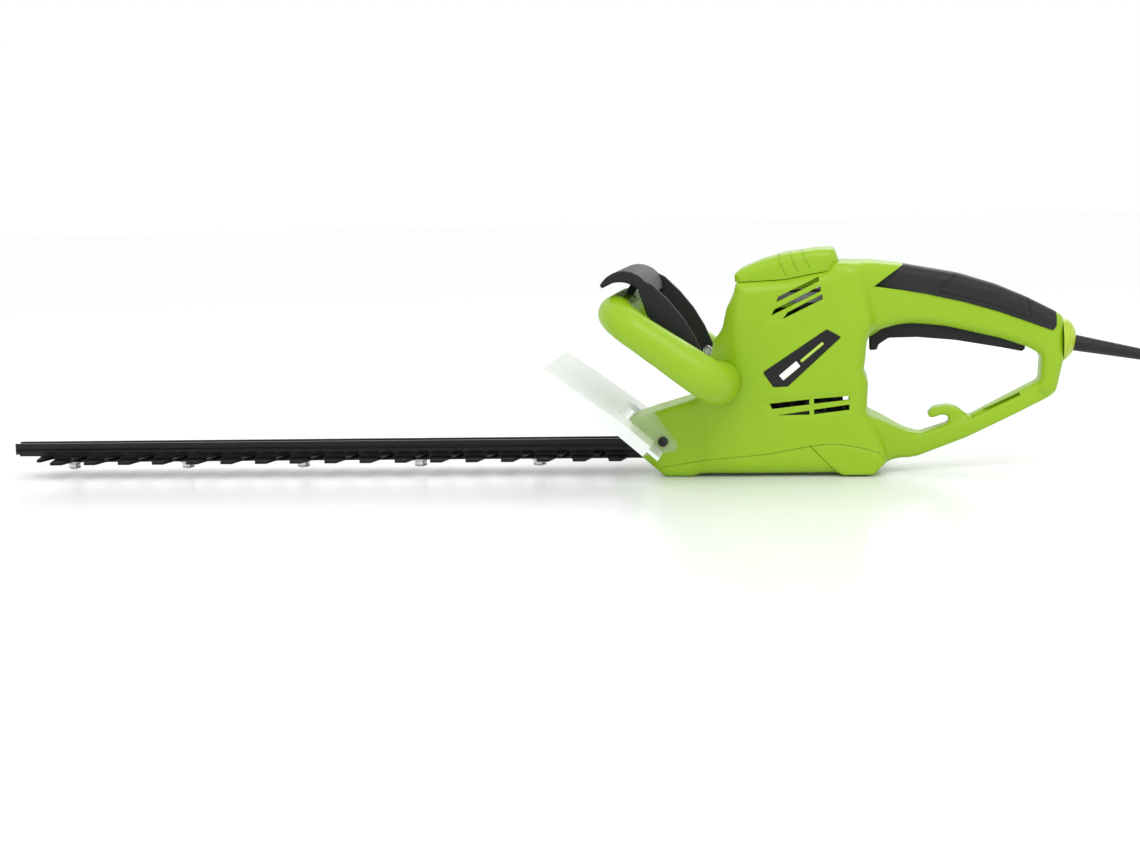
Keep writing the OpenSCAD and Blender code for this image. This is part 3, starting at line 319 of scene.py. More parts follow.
def solid(name, fill):
    """Object made by a function that fills a bmesh, with its faces turned outward."""
    bm = bmesh.new()
    fill(bm)
    bmesh.ops.remove_doubles(bm, verts=bm.verts[:], dist=MERGE)
    bmesh.ops.recalc_face_normals(bm, faces=bm.faces[:])
    mesh = bpy.data.meshes.new(name)
    write_back(bm, mesh)
    return placed(name, mesh)


def cad_copy(node, name):
    """Merged copy of a CAD node as a new object."""
    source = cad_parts[node]
    bm = bmesh.new()
    bm.from_mesh(source.data)
    bm.transform(source.matrix_world)
    bmesh.ops.remove_doubles(bm, verts=bm.verts[:], dist=MERGE)
    mesh = bpy.data.meshes.new(name)
    write_back(bm, mesh)
    return placed(name, mesh)


def settle(made):
    """Apply an object's modifiers to its mesh."""
    graph = bpy.context.evaluated_depsgraph_get()
    mesh = bpy.data.meshes.new_from_object(made.evaluated_get(graph))
    old = made.data
    made.modifiers.clear()
    made.data = mesh
    mesh.name = made.name
    bpy.data.meshes.remove(old)


def combine(target, tool, operation="DIFFERENCE"):
    """Cut, join or intersect target with tool, and remove the tool."""
    step = target.modifiers.new("combine", "BOOLEAN")
    step.operation = operation
    step.solver = "MANIFOLD"
    step.object = tool
    settle(target)
    if len(target.data.polygons) == 0:
        raise RuntimeError(f"nothing left of {target.name} after {tool.name}")
    bpy.data.objects.remove(tool)


def cut(target, fill):
    combine(target, solid("tool", fill))


def add(target, fill):
    combine(target, solid("tool", fill), "UNION")


def groove(target, lines, core):
    """Cut lines into target, as deep as the solid core lets them."""
    tool = solid("lines", lines)
    combine(tool, core)
    combine(target, tool)


def remesh(target, voxel):
    step = target.modifiers.new("remesh", "REMESH")
    step.mode = "VOXEL"
    step.voxel_size = voxel
    settle(target)


def narrow(target):
    """Bring the front of the column in towards the middle plane."""
    for vert in target.data.vertices:
        x, z = vert.co.x / MM, vert.co.z / MM
        if 62 < z and x < 172:
            vert.co.y *= 1 - 0.18 * (1 - smooth_step(x, 150, 171)) * smooth_step(z, 62, 76)


def relax(target, rounds, part=None):
    """Smooth a dense mesh, or the part of it that a test of a place picks."""
    bm = bmesh.new()
    bm.from_mesh(target.data)
    chosen = [v for v in bm.verts if part is None or part(v.co / MM)]
    for _ in range(rounds):
        bmesh.ops.smooth_vert(
            bm, verts=chosen, factor=0.5, use_axis_x=True, use_axis_y=True, use_axis_z=True,
        )
    write_back(bm, target.data)


def break_edges(target, width):
    """Dissolve flat triangles of a CAD copy and bevel its sharp edges."""
    bm = bmesh.new()
    bm.from_mesh(target.data)
    bmesh.ops.dissolve_limit(
        bm, angle_limit=math.radians(1.5), verts=bm.verts[:], edges=bm.edges[:], delimit=set(),
    )
    sharp = [e for e in bm.edges if e.is_convex and e.calc_face_angle(0) > math.radians(25)]
    bmesh.ops.bevel(
        bm, geom=sharp, offset=width * MM, offset_type="OFFSET", segments=2, profile=0.5,
        affect="EDGES", clamp_overlap=True, material=-1,
    )
    write_back(bm, target.data)


def complete(made, finish, body, nodes=(), angle=32):
    """Shade, colour and attach a finished piece."""
    made.data.materials.clear()
    made.data.materials.append(finish)
    made.data.shade_smooth()
    made.data.set_sharp_from_angle(angle=math.radians(angle))
    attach(made, body)
    if nodes:
        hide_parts(*nodes)
    return made


# --------------------------------------------------------------- finishes

FINISHES = {}
# Opacity of the clear guard: high where its pale colour paints the reflection on the leaning plate seen at a
# grazing view, low where it stays see-through.
GLARE_OPACITY, CLEAR = 0.84, 0.14


def shader_of(name):
    material = bpy.data.materials.new(name)
    material.use_nodes = True
    tree = material.node_tree
    shader = next(n for n in tree.nodes if n.type == "BSDF_PRINCIPLED")
    place = tree.nodes.new("ShaderNodeTexCoord")
    return material, tree, shader, place


def noise(tree, place, scale, detail=3.0, stretch=None):
    """Noise texture on Object coordinates."""
    texture = tree.nodes.new("ShaderNodeTexNoise")
    texture.inputs["Scale"].default_value = scale
    texture.inputs["Detail"].default_value = detail
    source = place.outputs["Object"]
    if stretch:
        mapping = tree.nodes.new("ShaderNodeMapping")
        mapping.inputs["Scale"].default_value = stretch
        tree.links.new(source, mapping.inputs["Vector"])
        source = mapping.outputs["Vector"]
    tree.links.new(source, texture.inputs["Vector"])
    return texture.outputs["Fac"]


def blend_colours(tree, factor, dark, light):
    mix = tree.nodes.new("ShaderNodeMix")
    mix.data_type = "RGBA"
    tree.links.new(factor, mix.inputs["Factor"])
    mix.inputs[6].default_value = dark
    mix.inputs[7].default_value = light
    return mix.outputs[2]


def mapped(tree, source, low, high, to_low, to_high):
    """Carry a value from one range to another and hold it at the ends."""
    step = tree.nodes.new("ShaderNodeMapRange")
    tree.links.new(source, step.inputs["Value"])
    for socket, value in (("From Min", low), ("From Max", high), ("To Min", to_low), ("To Max", to_high)):
        step.inputs[socket].default_value = value
    return step.outputs["Result"]


def spread(tree, factor, low, high):
    return mapped(tree, factor, 0.3, 0.7, low, high)


def worked_out(tree, operation, *values):
    step = tree.nodes.new("ShaderNodeMath")
    step.operation = operation
    for value, socket in zip(values, step.inputs):
        tree.links.new(value, socket)
    return step.outputs["Value"]


def bump(tree, shader, height, depth):
    """Relief of a depth in millimetres."""
    relief = tree.nodes.new("ShaderNodeBump")
    relief.inputs["Distance"].default_value = depth * MM
    relief.inputs["Strength"].default_value = 1
    tree.links.new(height, relief.inputs["Height"])
    tree.links.new(relief.outputs["Normal"], shader.inputs["Normal"])


def tinted(colour, factor):
    return tuple(min(1, c * factor) for c in colour[:3]) + (1,)


def mottled(tree, shader, factor, colour, mottle):
    """Let the colour wander a little darker and lighter."""
    mix = blend_colours(tree, factor, tinted(colour, 1 - mottle), tinted(colour, 1 + mottle))
    tree.links.new(mix, shader.inputs["Base Color"])


def moulded(name, colour, roughness, grain=1800, depth=0.006, mottle=0.04, coat=0.0):
    """Moulded plastic: fine spark-eroded grain, slight mottling and uneven gloss."""
    material, tree, shader, place = shader_of(name)
    mottled(tree, shader, noise(tree, place, 22, 2), colour, mottle)
    gloss = spread(tree, noise(tree, place, 260, 3), roughness - 0.05, roughness + 0.05)
    tree.links.new(gloss, shader.inputs["Roughness"])
    bump(tree, shader, noise(tree, place, grain, 2), depth)
    shader.inputs["Specular IOR Level"].default_value = 0.34
    shader.inputs["Coat Weight"].default_value = coat
    shader.inputs["Coat Roughness"].default_value = 0.25
    return material


def metal(name, colour, roughness, stretch, metallic=1.0, scratch=0.004):
    """Ground or drawn metal: fine lines along one direction and uneven gloss."""
    material, tree, shader, place = shader_of(name)
    lines = noise(tree, place, 1, 4, stretch)
    mottled(tree, shader, lines, colour, 0.08)
    tree.links.new(spread(tree, lines, roughness - 0.07, roughness + 0.07), shader.inputs["Roughness"])
    bump(tree, shader, lines, scratch)
    shader.inputs["Metallic"].default_value = metallic
    return material


def clear_plastic(name):
    """Clear plastic with fine flow lines: near-opaque and pale on the leaning plate as a painted reflection
    of the bright surroundings seen there at a grazing view, clearer over the nose.
    """
    material, tree, shader, place = shader_of(name)
    flow = noise(tree, place, 1, 3, (60, 14, 60))
    colour = blend_colours(tree, flow, (0.84, 0.88, 0.86, 1), (0.93, 0.95, 0.94, 1))
    tree.links.new(colour, shader.inputs["Base Color"])
    tree.links.new(spread(tree, flow, 0.14, 0.24), shader.inputs["Roughness"])
    split = tree.nodes.new("ShaderNodeSeparateXYZ")
    tree.links.new(place.outputs["Object"], split.inputs["Vector"])
    # Painted reflection: away from the cheeks over the nose, the guard is made near-opaque and pale, standing
    # in for the bright reflection of a clear plate seen at a grazing view.
    ahead = mapped(tree, split.outputs["X"], 76 * MM, 84 * MM, GLARE_OPACITY, CLEAR)
    aside = worked_out(tree, "ABSOLUTE", split.outputs["Y"])
    aside = mapped(tree, aside, 38 * MM, 42 * MM, CLEAR, GLARE_OPACITY)
    tree.links.new(worked_out(tree, "MAXIMUM", ahead, aside), shader.inputs["Alpha"])
    bump(tree, shader, noise(tree, place, 240, 2), 0.01)
    shader.inputs["IOR"].default_value = 1.5
    return material


def make_finishes(scene):
    green = tuple(scene.trimmer_housing.green)
    black = tuple(scene.trimmer_handles.black)
    coating = tuple(scene.trimmer_cutter.coating)
    along_bar = (25, 1600, 1600)
    round_z = (900, 900, 60)
    FINISHES.update({
        "green": moulded("moulded green", green, 0.36, coat=0.06),
        "pale_green": moulded("moulded pale green", srgb(172, 198, 52), 0.34, coat=0.2),
        "black": moulded("moulded black", black, 0.52, grain=1500, depth=0.012, mottle=0.12),
        "grip": moulded("soft grip", srgb(30, 30, 31), 0.56, grain=1100, depth=0.03, mottle=0.1),
        "rubber": moulded("rubber", srgb(28, 28, 29), 0.5, grain=900, depth=0.02, mottle=0.1),
        "badge": moulded("badge film", srgb(14, 14, 14), 0.3, grain=900, depth=0.004, mottle=0.1),
        "white_print": moulded("white stripe", srgb(238, 240, 236), 0.35, 900, 0.003, 0.02),
        "green_print": moulded("green stripe", srgb(176, 205, 80), 0.35, 900, 0.003, 0.03),
        "clear": clear_plastic("clear guard"),
        "bar": metal("black anodised bar", coating, 0.34, along_bar, 0.55),
        "blade": metal("black oxide blade", tinted(coating, 0.8), 0.36, (500, 1200, 900), 0.6),
        "bright": metal("bright steel", srgb(205, 206, 208), 0.24, round_z),
        "screw": metal("black screw", srgb(52, 52, 54), 0.32, (700, 700, 700), 0.8),
        "gear": metal("gear steel", srgb(150, 150, 152), 0.36, (900, 900, 40)),
        "core": metal("stacked laminations", srgb(120, 120, 124), 0.45, (30, 30, 2600), 1.0, 0.02),
        "case": metal("die-cast case", srgb(150, 152, 154), 0.5, (260, 260, 260), 0.9, 0.02),
        "copper": metal("wound copper", srgb(186, 108, 60), 0.3, (40, 40, 2400), 1.0, 0.03),
        "carbon": moulded("carbon brush", srgb(40, 40, 42), 0.6, grain=2200, depth=0.02, mottle=0.15),
        "film": moulded("film capacitor", srgb(208, 176, 62), 0.35, grain=700, depth=0.004),
        "lead": moulded("inner lead", srgb(66, 66, 70), 0.42, grain=900, depth=0.006),
        "fan": moulded("fan plastic", srgb(74, 76, 78), 0.4, grain=1200, depth=0.01),
    })


# ------------------------------------------------------ outlines of the part

SEAT = [(246, 159), (236, 156.5), (224, 154.5), (205, 151), (168, 149.5)]
BODY = [(140, 2.2), (244, 2.2, 2), (248, 0, 2), (271, 0, 3), (283, 11, 4), (277, 30, 12), (266.5, 47, 4),
        (268, 72, 3), (264.5, 80, 3), (266, 90, 4), (267, 102, 6), (273, 118, 10), (264, 162, 12),
        (248, 164.4, 2)] + SEAT + [(166.5, 142, 4), (160.5, 129.4, 5), (157, 114, 3), (150.5, 104.6, 5),
        (146, 89, 6), (140, 70)]
NOSE = [(92, 17, 3), (111, 0, 2.5), (135, 0, 2), (139, 2.2, 2), (152, 2.2), (152, 67), (128, 58, 5),
        (104, 51, 3), (79.5, 42.5, 3)]
STRUT = [(288, 12), (296, 10, 8), (306, 12, 8), (343, 26, 30), (381, 44.3, 30), (404, 56, 4), (410, 62, 4),
         (398, 70, 3), (344, 42, 2), (329, 37, 2), (306.5, 29.8, 8), (288, 36)]
HOOK = [(338, 33), (345, 42, 3), (335.5, 49.6, 5), (328, 51.2, 6), (318, 49.6, 5), (312.8, 45, 3),
        (315, 40.6, 2), (325.4, 44, 2), (330, 41.5, 2), (328, 33)]
HANDLE = [(254, 118), (254, 163.8), (271, 163.2, 30), (287, 161.8, 20), (299, 159.4, 30), (337, 152.1, 60),
          (365.4, 143, 60), (388.3, 133, 60), (410.5, 121.4, 3), (415, 118, 3), (415.5, 85, 5), (410, 61, 4),
          (404, 56, 3), (394, 62), (397.4, 70, 3), (398.5, 87.5, 3), (396.5, 90.5, 3), (387.3, 95.6, 2),
          (368, 102.3, 60), (327, 112.2, 60), (298, 115.2, 20), (284, 114.7, 8), (270, 104, 4)]
GRIP_ZONE = [(272.5, 144.3), (312.3, 137.5), (341, 130.8), (367, 123), (407, 108, 2), (409.5, 112),
             (409.5, 140), (340, 175), (302, 165)]
TRIGGER_SLOT = [(268.5, 98), (268.5, 128), (292, 127), (332, 124), (370, 117), (390, 108), (390, 92),
                (300, 98)]
TRIGGER = [(269.2, 94, 1.5), (275, 94.4, 1.5), (276.4, 98.5, 3), (284, 103.4, 6), (305.4, 103.7, 20),
           (334.2, 101, 40), (368, 95, 30), (384.7, 91.6, 1), (387, 93.4, 1), (387, 100, 1), (368, 107.5, 30),
           (330, 117, 30), (300, 120, 20), (284, 123, 4), (271, 123, 4), (269.2, 112, 4)]
COVER = [(168, 138), (246, 138), (246, 165, 1), (242.8, 173.7, 3), (230, 173.6, 20), (206, 170.6, 30),
         (188, 165.8, 20), (171.5, 159, 3), (167, 155.5, 2)]
BADGE = [(188, 81, 2), (237, 113.4, 2), (247.6, 107.2, 1), (207, 70, 2), (196, 69.6, 2)]
VENTS = [[(199.2, 134.4), (231.5, 149.6), (231, 153.2), (200.4, 138.3)],
         [(195.4, 124.4), (232.8, 142.2), (232.4, 146.2), (197.2, 128.6)],
         [(203.8, 121.6), (234, 136), (233.8, 139.8), (207.6, 126.6)],
         [(192.9, 56.9), (194.9, 52.7), (223.2, 55.9), (223.2, 60)],
         [(226.6, 56.4), (253.4, 59.2), (253.4, 62.2), (226.6, 60.4)],
         [(198.8, 47.9), (223.2, 48.1), (223.2, 51.3)],
         [(226.6, 48.3), (253.4, 51.5), (253.4, 55.7), (226.6, 52)]]
SUNK_PADS = [([(193, 119.5), (189.5, 126), (196, 140.5), (232, 157), (238.5, 151), (238.5, 137),
               (206, 118.5)], 37.3),
             ([(187, 56.5), (199.5, 44.6), (257.5, 49.6), (257.5, 65.6), (190, 60.5)], 37.3),
             ([(206, 68.2), (247, 106.6), (252.6, 106.4), (251, 98.6), (216, 65.4)], 37.4)]
HEEL_PAD = [(224.6, 22.9), (241.2, 24.6), (261.1, 21.8), (275, 17), (280.5, 11), (271, 1.2), (248, 1.2),
            (243.6, 4)]
SIDE_LINES = [[(100, 6.2), (149, 14.1), (189.9, 17.7), (223.6, 23.9)],
              [(223.6, 23.9), (241.2, 25.6), (261.1, 22.6), (276, 18)],
              [(223.6, 23.9), (243.4, 3.2)]]
CORD_SLIT = [(346, 43.4), (382, 60.6), (383, 58.4), (347, 41.2)]
BOSSES = [(118, 47.5, 34), (166, 98, 38), (178, 138, 38), (254, 122, 38), (270, 22, 38), (296, 132.5, 17),
          (405, 74, 17), (354, 38.5, 12.5)]
BODY_HALF, NOSE_HALF, HANDLE_HALF, STRUT_HALF, HOOK_HALF = 38, 34, 17, 12.5, 9.5
SCREW_SEAT = 8.4
CROSS_HEAD = {"head": 3.6, "height": 2.4, "shank": 1.98}
GUARD_SCREW = (110.8, 28.4)
GUARD_HALF = 75
CHEEK_IN, CHEEK_OUT = 34.05, 36.45
BAIL_ROOT = Vector((156, 0, 75))
BAIL_TOP = Vector((78.5, 0, 129))
BAIL_RISE = (BAIL_TOP - BAIL_ROOT).length
BAIL_WAY = (BAIL_TOP - BAIL_ROOT).normalized()
BAIL_UP = Vector((-BAIL_WAY.z, 0, BAIL_WAY.x)) * -1
BAIL_HALF = 80.0
BAIL_SCREWS = [(-BAIL_HALF, 0.5), (BAIL_HALF, 0.5), (-0.45 * BAIL_HALF, 1), (0.45 * BAIL_HALF, 1)]
BAIL_SCREW_SEAT = -5.9
BAIL_GAP = 0.02
LATCH_RISE = BAIL_RISE + 2.5
LEVER_IN, LEVER_OUT = 58.0, 63.5
LEVER_PIVOT = (141, 91)
PIN_BORE = 2.56
OUTLET = Vector((412, 0, 99.6))
LEAN = Vector((math.cos(math.radians(11)), 0, -math.sin(math.radians(11))))
RELIEF_TIP = OUTLET + LEAN * 72
CORD_ROUTE = [RELIEF_TIP, RELIEF_TIP + LEAN * 17] + [Vector(p) for p in (
    (516.5, 0, 74), (532, 0, 57), (543, 1, 40), (554, 4, 22), (567, 9, 9), (583, 15, 4), (600, 23, 3.6),
    (614, 35, 3.6), (623, 51, 3.6), (625, 69, 3.6), (620, 87, 3.6), (609, 103, 3.6), (596, 117, 3.6),
    (584, 132, 3.6))]


# -------------------------------------------------------------- operators

class TRIMMER_OT_stage(bpy.types.Operator):
    """Make the camera, the floor and the lights"""

    bl_idname = "trimmer.stage"
    bl_label = "Stage"

    def execute(self, context):
        scene = context.scene
        settings = scene.trimmer_stage
        turn, tip, roll = math.radians(7.448), math.radians(7), math.radians(-1.479)
        ahead = Vector((-math.sin(turn) * math.cos(tip), math.cos(turn) * math.cos(tip), -math.sin(tip)))
        right = Vector((math.cos(turn), math.sin(turn), 0))
        above = right.cross(ahead)
        across = right * math.cos(roll) + above * math.sin(roll)
        upward = above * math.cos(roll) - right * math.sin(roll)
        lens = bpy.data.cameras.new("camera")
        lens.sensor_width = 36
        lens.lens = 2000 / 1140 * 36
        lens.clip_end = 60
        camera = placed("camera", lens)
        place = Matrix((across, upward, -ahead)).transposed().to_4x4()
        place.translation = (Vector((33.97, 0, 35.56)) - ahead * 1587.1) * MM
        camera.matrix_world = place
        scene.camera = camera

        def sheet(bm):
            bmesh.ops.create_grid(bm, x_segments=1, y_segments=1, size=9)

        floor = solid("floor", sheet)
        material, tree, shader, spot = shader_of("floor")
        tint = tuple(settings.floor_tint)
        colour = blend_colours(tree, noise(tree, spot, 3, 2), tinted(tint, 0.99), tint)
        tree.links.new(colour, shader.inputs["Base Color"])
        shader.inputs["Roughness"].default_value = 0.2
        shader.inputs["Specular IOR Level"].default_value = 0.22
        floor.data.materials.append(material)

        world = bpy.data.worlds.new("studio")
        world.use_nodes = True
        sky = world.node_tree.nodes["Background"]
        sky.inputs["Color"].default_value = (1, 1, 1, 1)
        sky.inputs["Strength"].default_value = 1.0
        scene.world = world
        scene.view_settings.view_transform = "Standard"
        for name, spot, aim, size, power in (
            ("key", (0.55, -1.3, 1.7), (0.1, 0, 0.05), 1.4, settings.key_power),
            ("fill", (-1.5, -1.6, 0.9), (0, 0, 0.05), 1.6, settings.key_power * 0.28),
            ("rim", (0.5, 1.4, 1.3), (0.15, 0, 0.08), 1.2, settings.key_power * 0.5),
        ):
            lamp = bpy.data.lights.new(name, "AREA")
            lamp.shape = "DISK"
            lamp.size = size
            lamp.energy = power
            holder = placed(name, lamp)
            holder.location = spot
            holder.rotation_mode = "QUATERNION"
            holder.rotation_quaternion = (Vector(aim) - Vector(spot)).to_track_quat("-Z", "Y")
        return {"FINISHED"}


class TRIMMER_OT_lead(bpy.types.Operator):
    """Make the cord, its bend relief, the outlet cap and the plug"""

    bl_idname = "trimmer.lead"
    bl_label = "Lead"

    def execute(self, context):
        curve = bpy.data.curves.new("cord", "CURVE")
        curve.dimensions = "3D"
        curve.resolution_u = 10
        curve.bevel_depth = 3.5 * MM
        curve.bevel_resolution = 6
        curve.use_fill_caps = True
        spline = curve.splines.new("BEZIER")
        spline.bezier_points.add(len(CORD_ROUTE) - 1)
        for knot, point in zip(spline.bezier_points, CORD_ROUTE):
            knot.co = point * MM
            knot.handle_left_type = knot.handle_right_type = "AUTO"
        cord = placed("mains_cord", curve)
        curve.materials.append(FINISHES["rubber"])
        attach(cord, "housing")
        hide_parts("cord")

        def relief(bm):
            profile = [(0, -20), (3.5, -20), (3.5, -8), (9, -8), (9, -5.5), (6.2, -5.5), (6.2, 10.5)]
            profile += [(6.2 - 2.2 * t / 8, 12 + 60 * t / 8) for t in range(9)]
            turned(bm, profile + [(3.55, 72), (0, 72)], OUTLET, LEAN, 48)

        sleeve = solid("bend_relief_sleeve", relief)
        complete(sleeve, FINISHES["rubber"], "housing", ["bend_relief"])

        def cap(bm):
            profile = [(6.25, -3), (16.4, -3), (17, 0), (17, 2.6), (16.5, 3), (16.5, 3.3), (16.8, 3.7),
                       (15.8, 6), (15.2, 6.2), (15.1, 6.6), (15.3, 6.9), (13.2, 9), (10.6, 10.8), (9, 11.8),
                       (8.4, 12), (6.25, 12)]
            turned(bm, profile, OUTLET, LEAN, 96)

        ring_cap = solid("outlet_ring", cap)
        cut(ring_cap, lambda bm: loft(bm, HANDLE, -17.4, 17.4))
        complete(ring_cap, FINISHES["pale_green"], "housing", ["outlet_cap"])

        heading = (CORD_ROUTE[-1] - CORD_ROUTE[-2]).normalized()
        bearing = math.atan2(heading.y, heading.x)
        turn = Matrix.Translation(CORD_ROUTE[-1] * MM) @ Matrix.Rotation(bearing, 4, "Z")
        face = [(0, -6, 3), (12, -9, 6), (30, -17, 5), (38, -17, 2), (38, 17, 2), (30, 17, 5), (12, 9, 6),
                (0, 6, 3)]

        def moulding(bm):
            loft(bm, face, -3.4, 12.4, 3.2)
            bmesh.ops.transform(bm, matrix=Matrix.Rotation(math.radians(90), 4, "X"), verts=bm.verts[:])
            for vert in bm.verts:
                vert.co.z = -vert.co.z if vert.co.z > 1 else vert.co.z
            bmesh.ops.translate(bm, vec=(6 * MM, 0, 0), verts=bm.verts[:])
            stick(bm, (0, 0, 0), (9, 0, 0), 4.6, 5.6)
            bmesh.ops.transform(bm, matrix=turn, verts=bm.verts[:])

        plug = solid("plug_moulding", moulding)
        low = min(v.co.z for v in plug.data.vertices)
        for vert in plug.data.vertices:
            vert.co.z = max(vert.co.z, 0.2 * MM) if low < 0 else vert.co.z
        complete(plug, FINISHES["rubber"], "housing", ["plug_body"])

        def pins(bm):
            for side in (-9.5, 9.5):
                stick(bm, (40, side, 4.5), (62.4, side, 4.5), 2.4)
                stick(bm, (62.4, side, 4.5), (63, side, 4.5), 2.4, 1.7)
            bmesh.ops.transform(bm, matrix=turn, verts=bm.verts[:])

        prongs = solid("plug_prongs", pins)
        complete(prongs, FINISHES["bright"], "housing", ["plug_pins"])
        return {"FINISHED"}


class TRIMMER_OT_housing(bpy.types.Operator):
    """Make both halves of the housing"""

    bl_idname = "trimmer.housing"
    bl_label = "Housing"

    def execute(self, context):
        settings = context.scene.trimmer_housing
        outer = self.outside(settings.body_edge / MM, settings.detail)
        inside = self.inside()
        for side, node, name in ((-1, "left_housing", "left_shell"), (1, "right_housing", "right_shell")):
            space = twin(inside, "space")
            combine(space, cad_copy(node, "cad"))
            half = twin(outer, name)
            low, high = span(side, settings.parting / MM, -60)
            cut(half, lambda bm: box(bm, (40, low, -20), (460, high, 220)))
            combine(half, space)

            def vents(bm):
                for shape in VENTS:
                    prism(bm, shape, *span(side, 31.5, 41))

            def bores(bm):
                for x, z, width in BOSSES:
                    rod(bm, (x, z), SCREW_SEAT, width + 4, 4)

            for opening in (
                vents,
                lambda bm: loft(bm, TRIGGER_SLOT, -7, 7),
                lambda bm: box(bm, (60, -11, 9.7), (148, 11, 30.4)),
                lambda bm: rod(bm, BAIL_ROOT.xz, side * 33, side * 41, 15.5, 64),
                lambda bm: rod(bm, GUARD_SCREW, side * 22, side * 36, 2.05),
                lambda bm: stick(bm, OUTLET - LEAN * 14, OUTLET + LEAN * 26, 6.25, segments=48),
                lambda bm: prism(bm, CORD_SLIT, *span(side, 6.5, 14)),
                (lambda bm: loft(bm, BADGE, -41, -37.2)) if side < 0 else bores,
                lambda bm: loft(bm, GRIP_ZONE, -30, 30),
            ):
                cut(half, opening)

            def lines(bm):
                for line in SIDE_LINES:
                    prism(bm, strip(line, 0.55), *span(side, 33.2, 42))

            core = solid("core", lambda bm: loft(bm, inset(BODY, 0.5), 0.5 - BODY_HALF, BODY_HALF - 0.5, 9.5))
            add(core, lambda bm: loft(bm, inset(NOSE, 0.5), 0.5 - NOSE_HALF, NOSE_HALF - 0.5, 5.5))
            groove(half, lines, core)
            complete(half, FINISHES["green"], "housing", [node], 38)
        bpy.data.objects.remove(outer)
        bpy.data.objects.remove(inside)
        return {"FINISHED"}

    def outside(self, edge, detail):
        """Outer shape of both halves as one block, with its blends, sunk pads and raised bands."""
        def block(bm):
            for outline, half, radius in (
                (BODY, BODY_HALF, edge), (NOSE, NOSE_HALF, 6), (HANDLE, HANDLE_HALF, 8),
                (STRUT, STRUT_HALF, 4), (HOOK, HOOK_HALF, 2.2),
            ):
                loft(bm, outline, -half, half, radius)
            shoulder, wedge = [], []
            for k in range(13):
                x = 240 + 5.5 * k
                half = eased(x, 246, 304, 36.5, 16.8)
                shoulder.append((x, eased(x, 258, 300, 108, 114.5), 163.6 - 0.14 * max(0, x - 271), half,
                                 min(9, half * 0.52)))
                x = 246 + 6 * k
                wedge.append((x, eased(x, 268, 290, 3.5, 11) + 0.34 * max(0, x - 300),
                              eased(x, 262, 309, 47, 29.4), eased(x, 252, 312, 36.5, 12.2), 5))
            sections(bm, shoulder)
            sections(bm, wedge)

        outer = solid("outer", block)
        remesh(outer, detail)
        narrow(outer)
        relax(outer, 30, lambda p: 236 < p.x < 300 and (p.z > 104 or p.z < 52))
        relax(outer, 30, lambda p: 132 < p.x < 160 and p.z < 66 and abs(p.y) > 28)

        def sunk(bm):
            for shape, floor in SUNK_PADS:
                both_sides(bm, shape, floor, 40)

        def raised(bm):
            both_sides(bm, strip([(106, 46.5), (123.8, 26.4), (121.5, 19), (99, 15.6)], 2.4), 30, 34.5)
            both_sides(bm, HEEL_PAD, 33, BODY_HALF + 0.45)

        cut(outer, sunk)
        add(outer, raised)
        remesh(outer, detail)
        relax(outer, 5)
        return outer

    def inside(self):
        """The room inside the shells, from which the CAD's ribs and bosses are then taken."""
        room = solid("inside", lambda bm: loft(bm, inset(BODY, 1.7), -30.4, 30.4))
        for outline, shift, half in (
            (BODY, 7.6, 36.2), (NOSE, 1.7, 29.4), (NOSE, 5.2, 32.2), (HANDLE, 1.9, 12.4), (HANDLE, 5.2, 15.2),
        ):
            add(room, lambda bm: loft(bm, inset(outline, shift), -half, half))
        narrow(room)
        return room


class TRIMMER_OT_cover(bpy.types.Operator):
    """Make the top cover with its three grip lines"""

    bl_idname = "trimmer.cover"
    bl_label = "Top cover"

    def execute(self, context):
        cover = solid("top_cover_shell", lambda bm: loft(bm, COVER, -30, 30, 7, 8, 6))
        below = [(160, 120), (252, 120), (252, 160.7)] + [(x, z + 0.2) for x, z in SEAT] + [(160, 149.4)]
        cut(cover, lambda bm: prism(bm, below, -31, 31))
        room = [(172.5, 138), (241.6, 138), (241.6, 168.5, 3), (228, 170.8, 20), (206, 167.6, 30),
                (188, 162.8, 20), (175, 157, 3)]
        cut(cover, lambda bm: loft(bm, room, -23, 23))

        def lines(bm):
            for shift in (0, 9, 18):
                line = [(199.5, 176), (202.4, 162.5 + shift * 0.28), (206.8, 154 + shift * 0.3)]
                prism(bm, strip([(x + shift, z) for x, z in line], 0.8), -40, 40)

        groove(cover, lines, solid("core", lambda bm: loft(bm, inset(COVER, 0.6), -29.4, 29.4, 6.4, 8, 6)))
        complete(cover, FINISHES["green"], "housing", ["top_cover"])
        return {"FINISHED"}


class TRIMMER_OT_grip(bpy.types.Operator):
    """Make the soft grip of the rear handle"""

    bl_idname = "trimmer.grip"
    bl_label = "Soft grip"

    def execute(self, context):
        grip = solid("soft_grip_skin", lambda bm: loft(bm, HANDLE, -17.9, 17.9, 8, 8))
        combine(grip, solid("zone", lambda bm: loft(bm, inset(GRIP_ZONE, 0.15), -30, 30)), "INTERSECT")
        cut(grip, lambda bm: loft(bm, inset(HANDLE, 2.0), -12, 12))

        def lines(bm):
            prism(bm, strip([(339, 160), (335.9, 152.7), (322.8, 142.8), (322.5, 139), (342, 134.4),
                             (367, 126.8), (388.4, 118.6), (390.6, 119.6), (387.9, 133.5), (387, 142)], 0.8),
                  -40, 40)

        groove(grip, lines, solid("core", lambda bm: loft(bm, inset(HANDLE, 0.6), -17.3, 17.3, 7.4, 8)))
        complete(grip, FINISHES["grip"], "housing", ["soft_grip"])
        return {"FINISHED"}


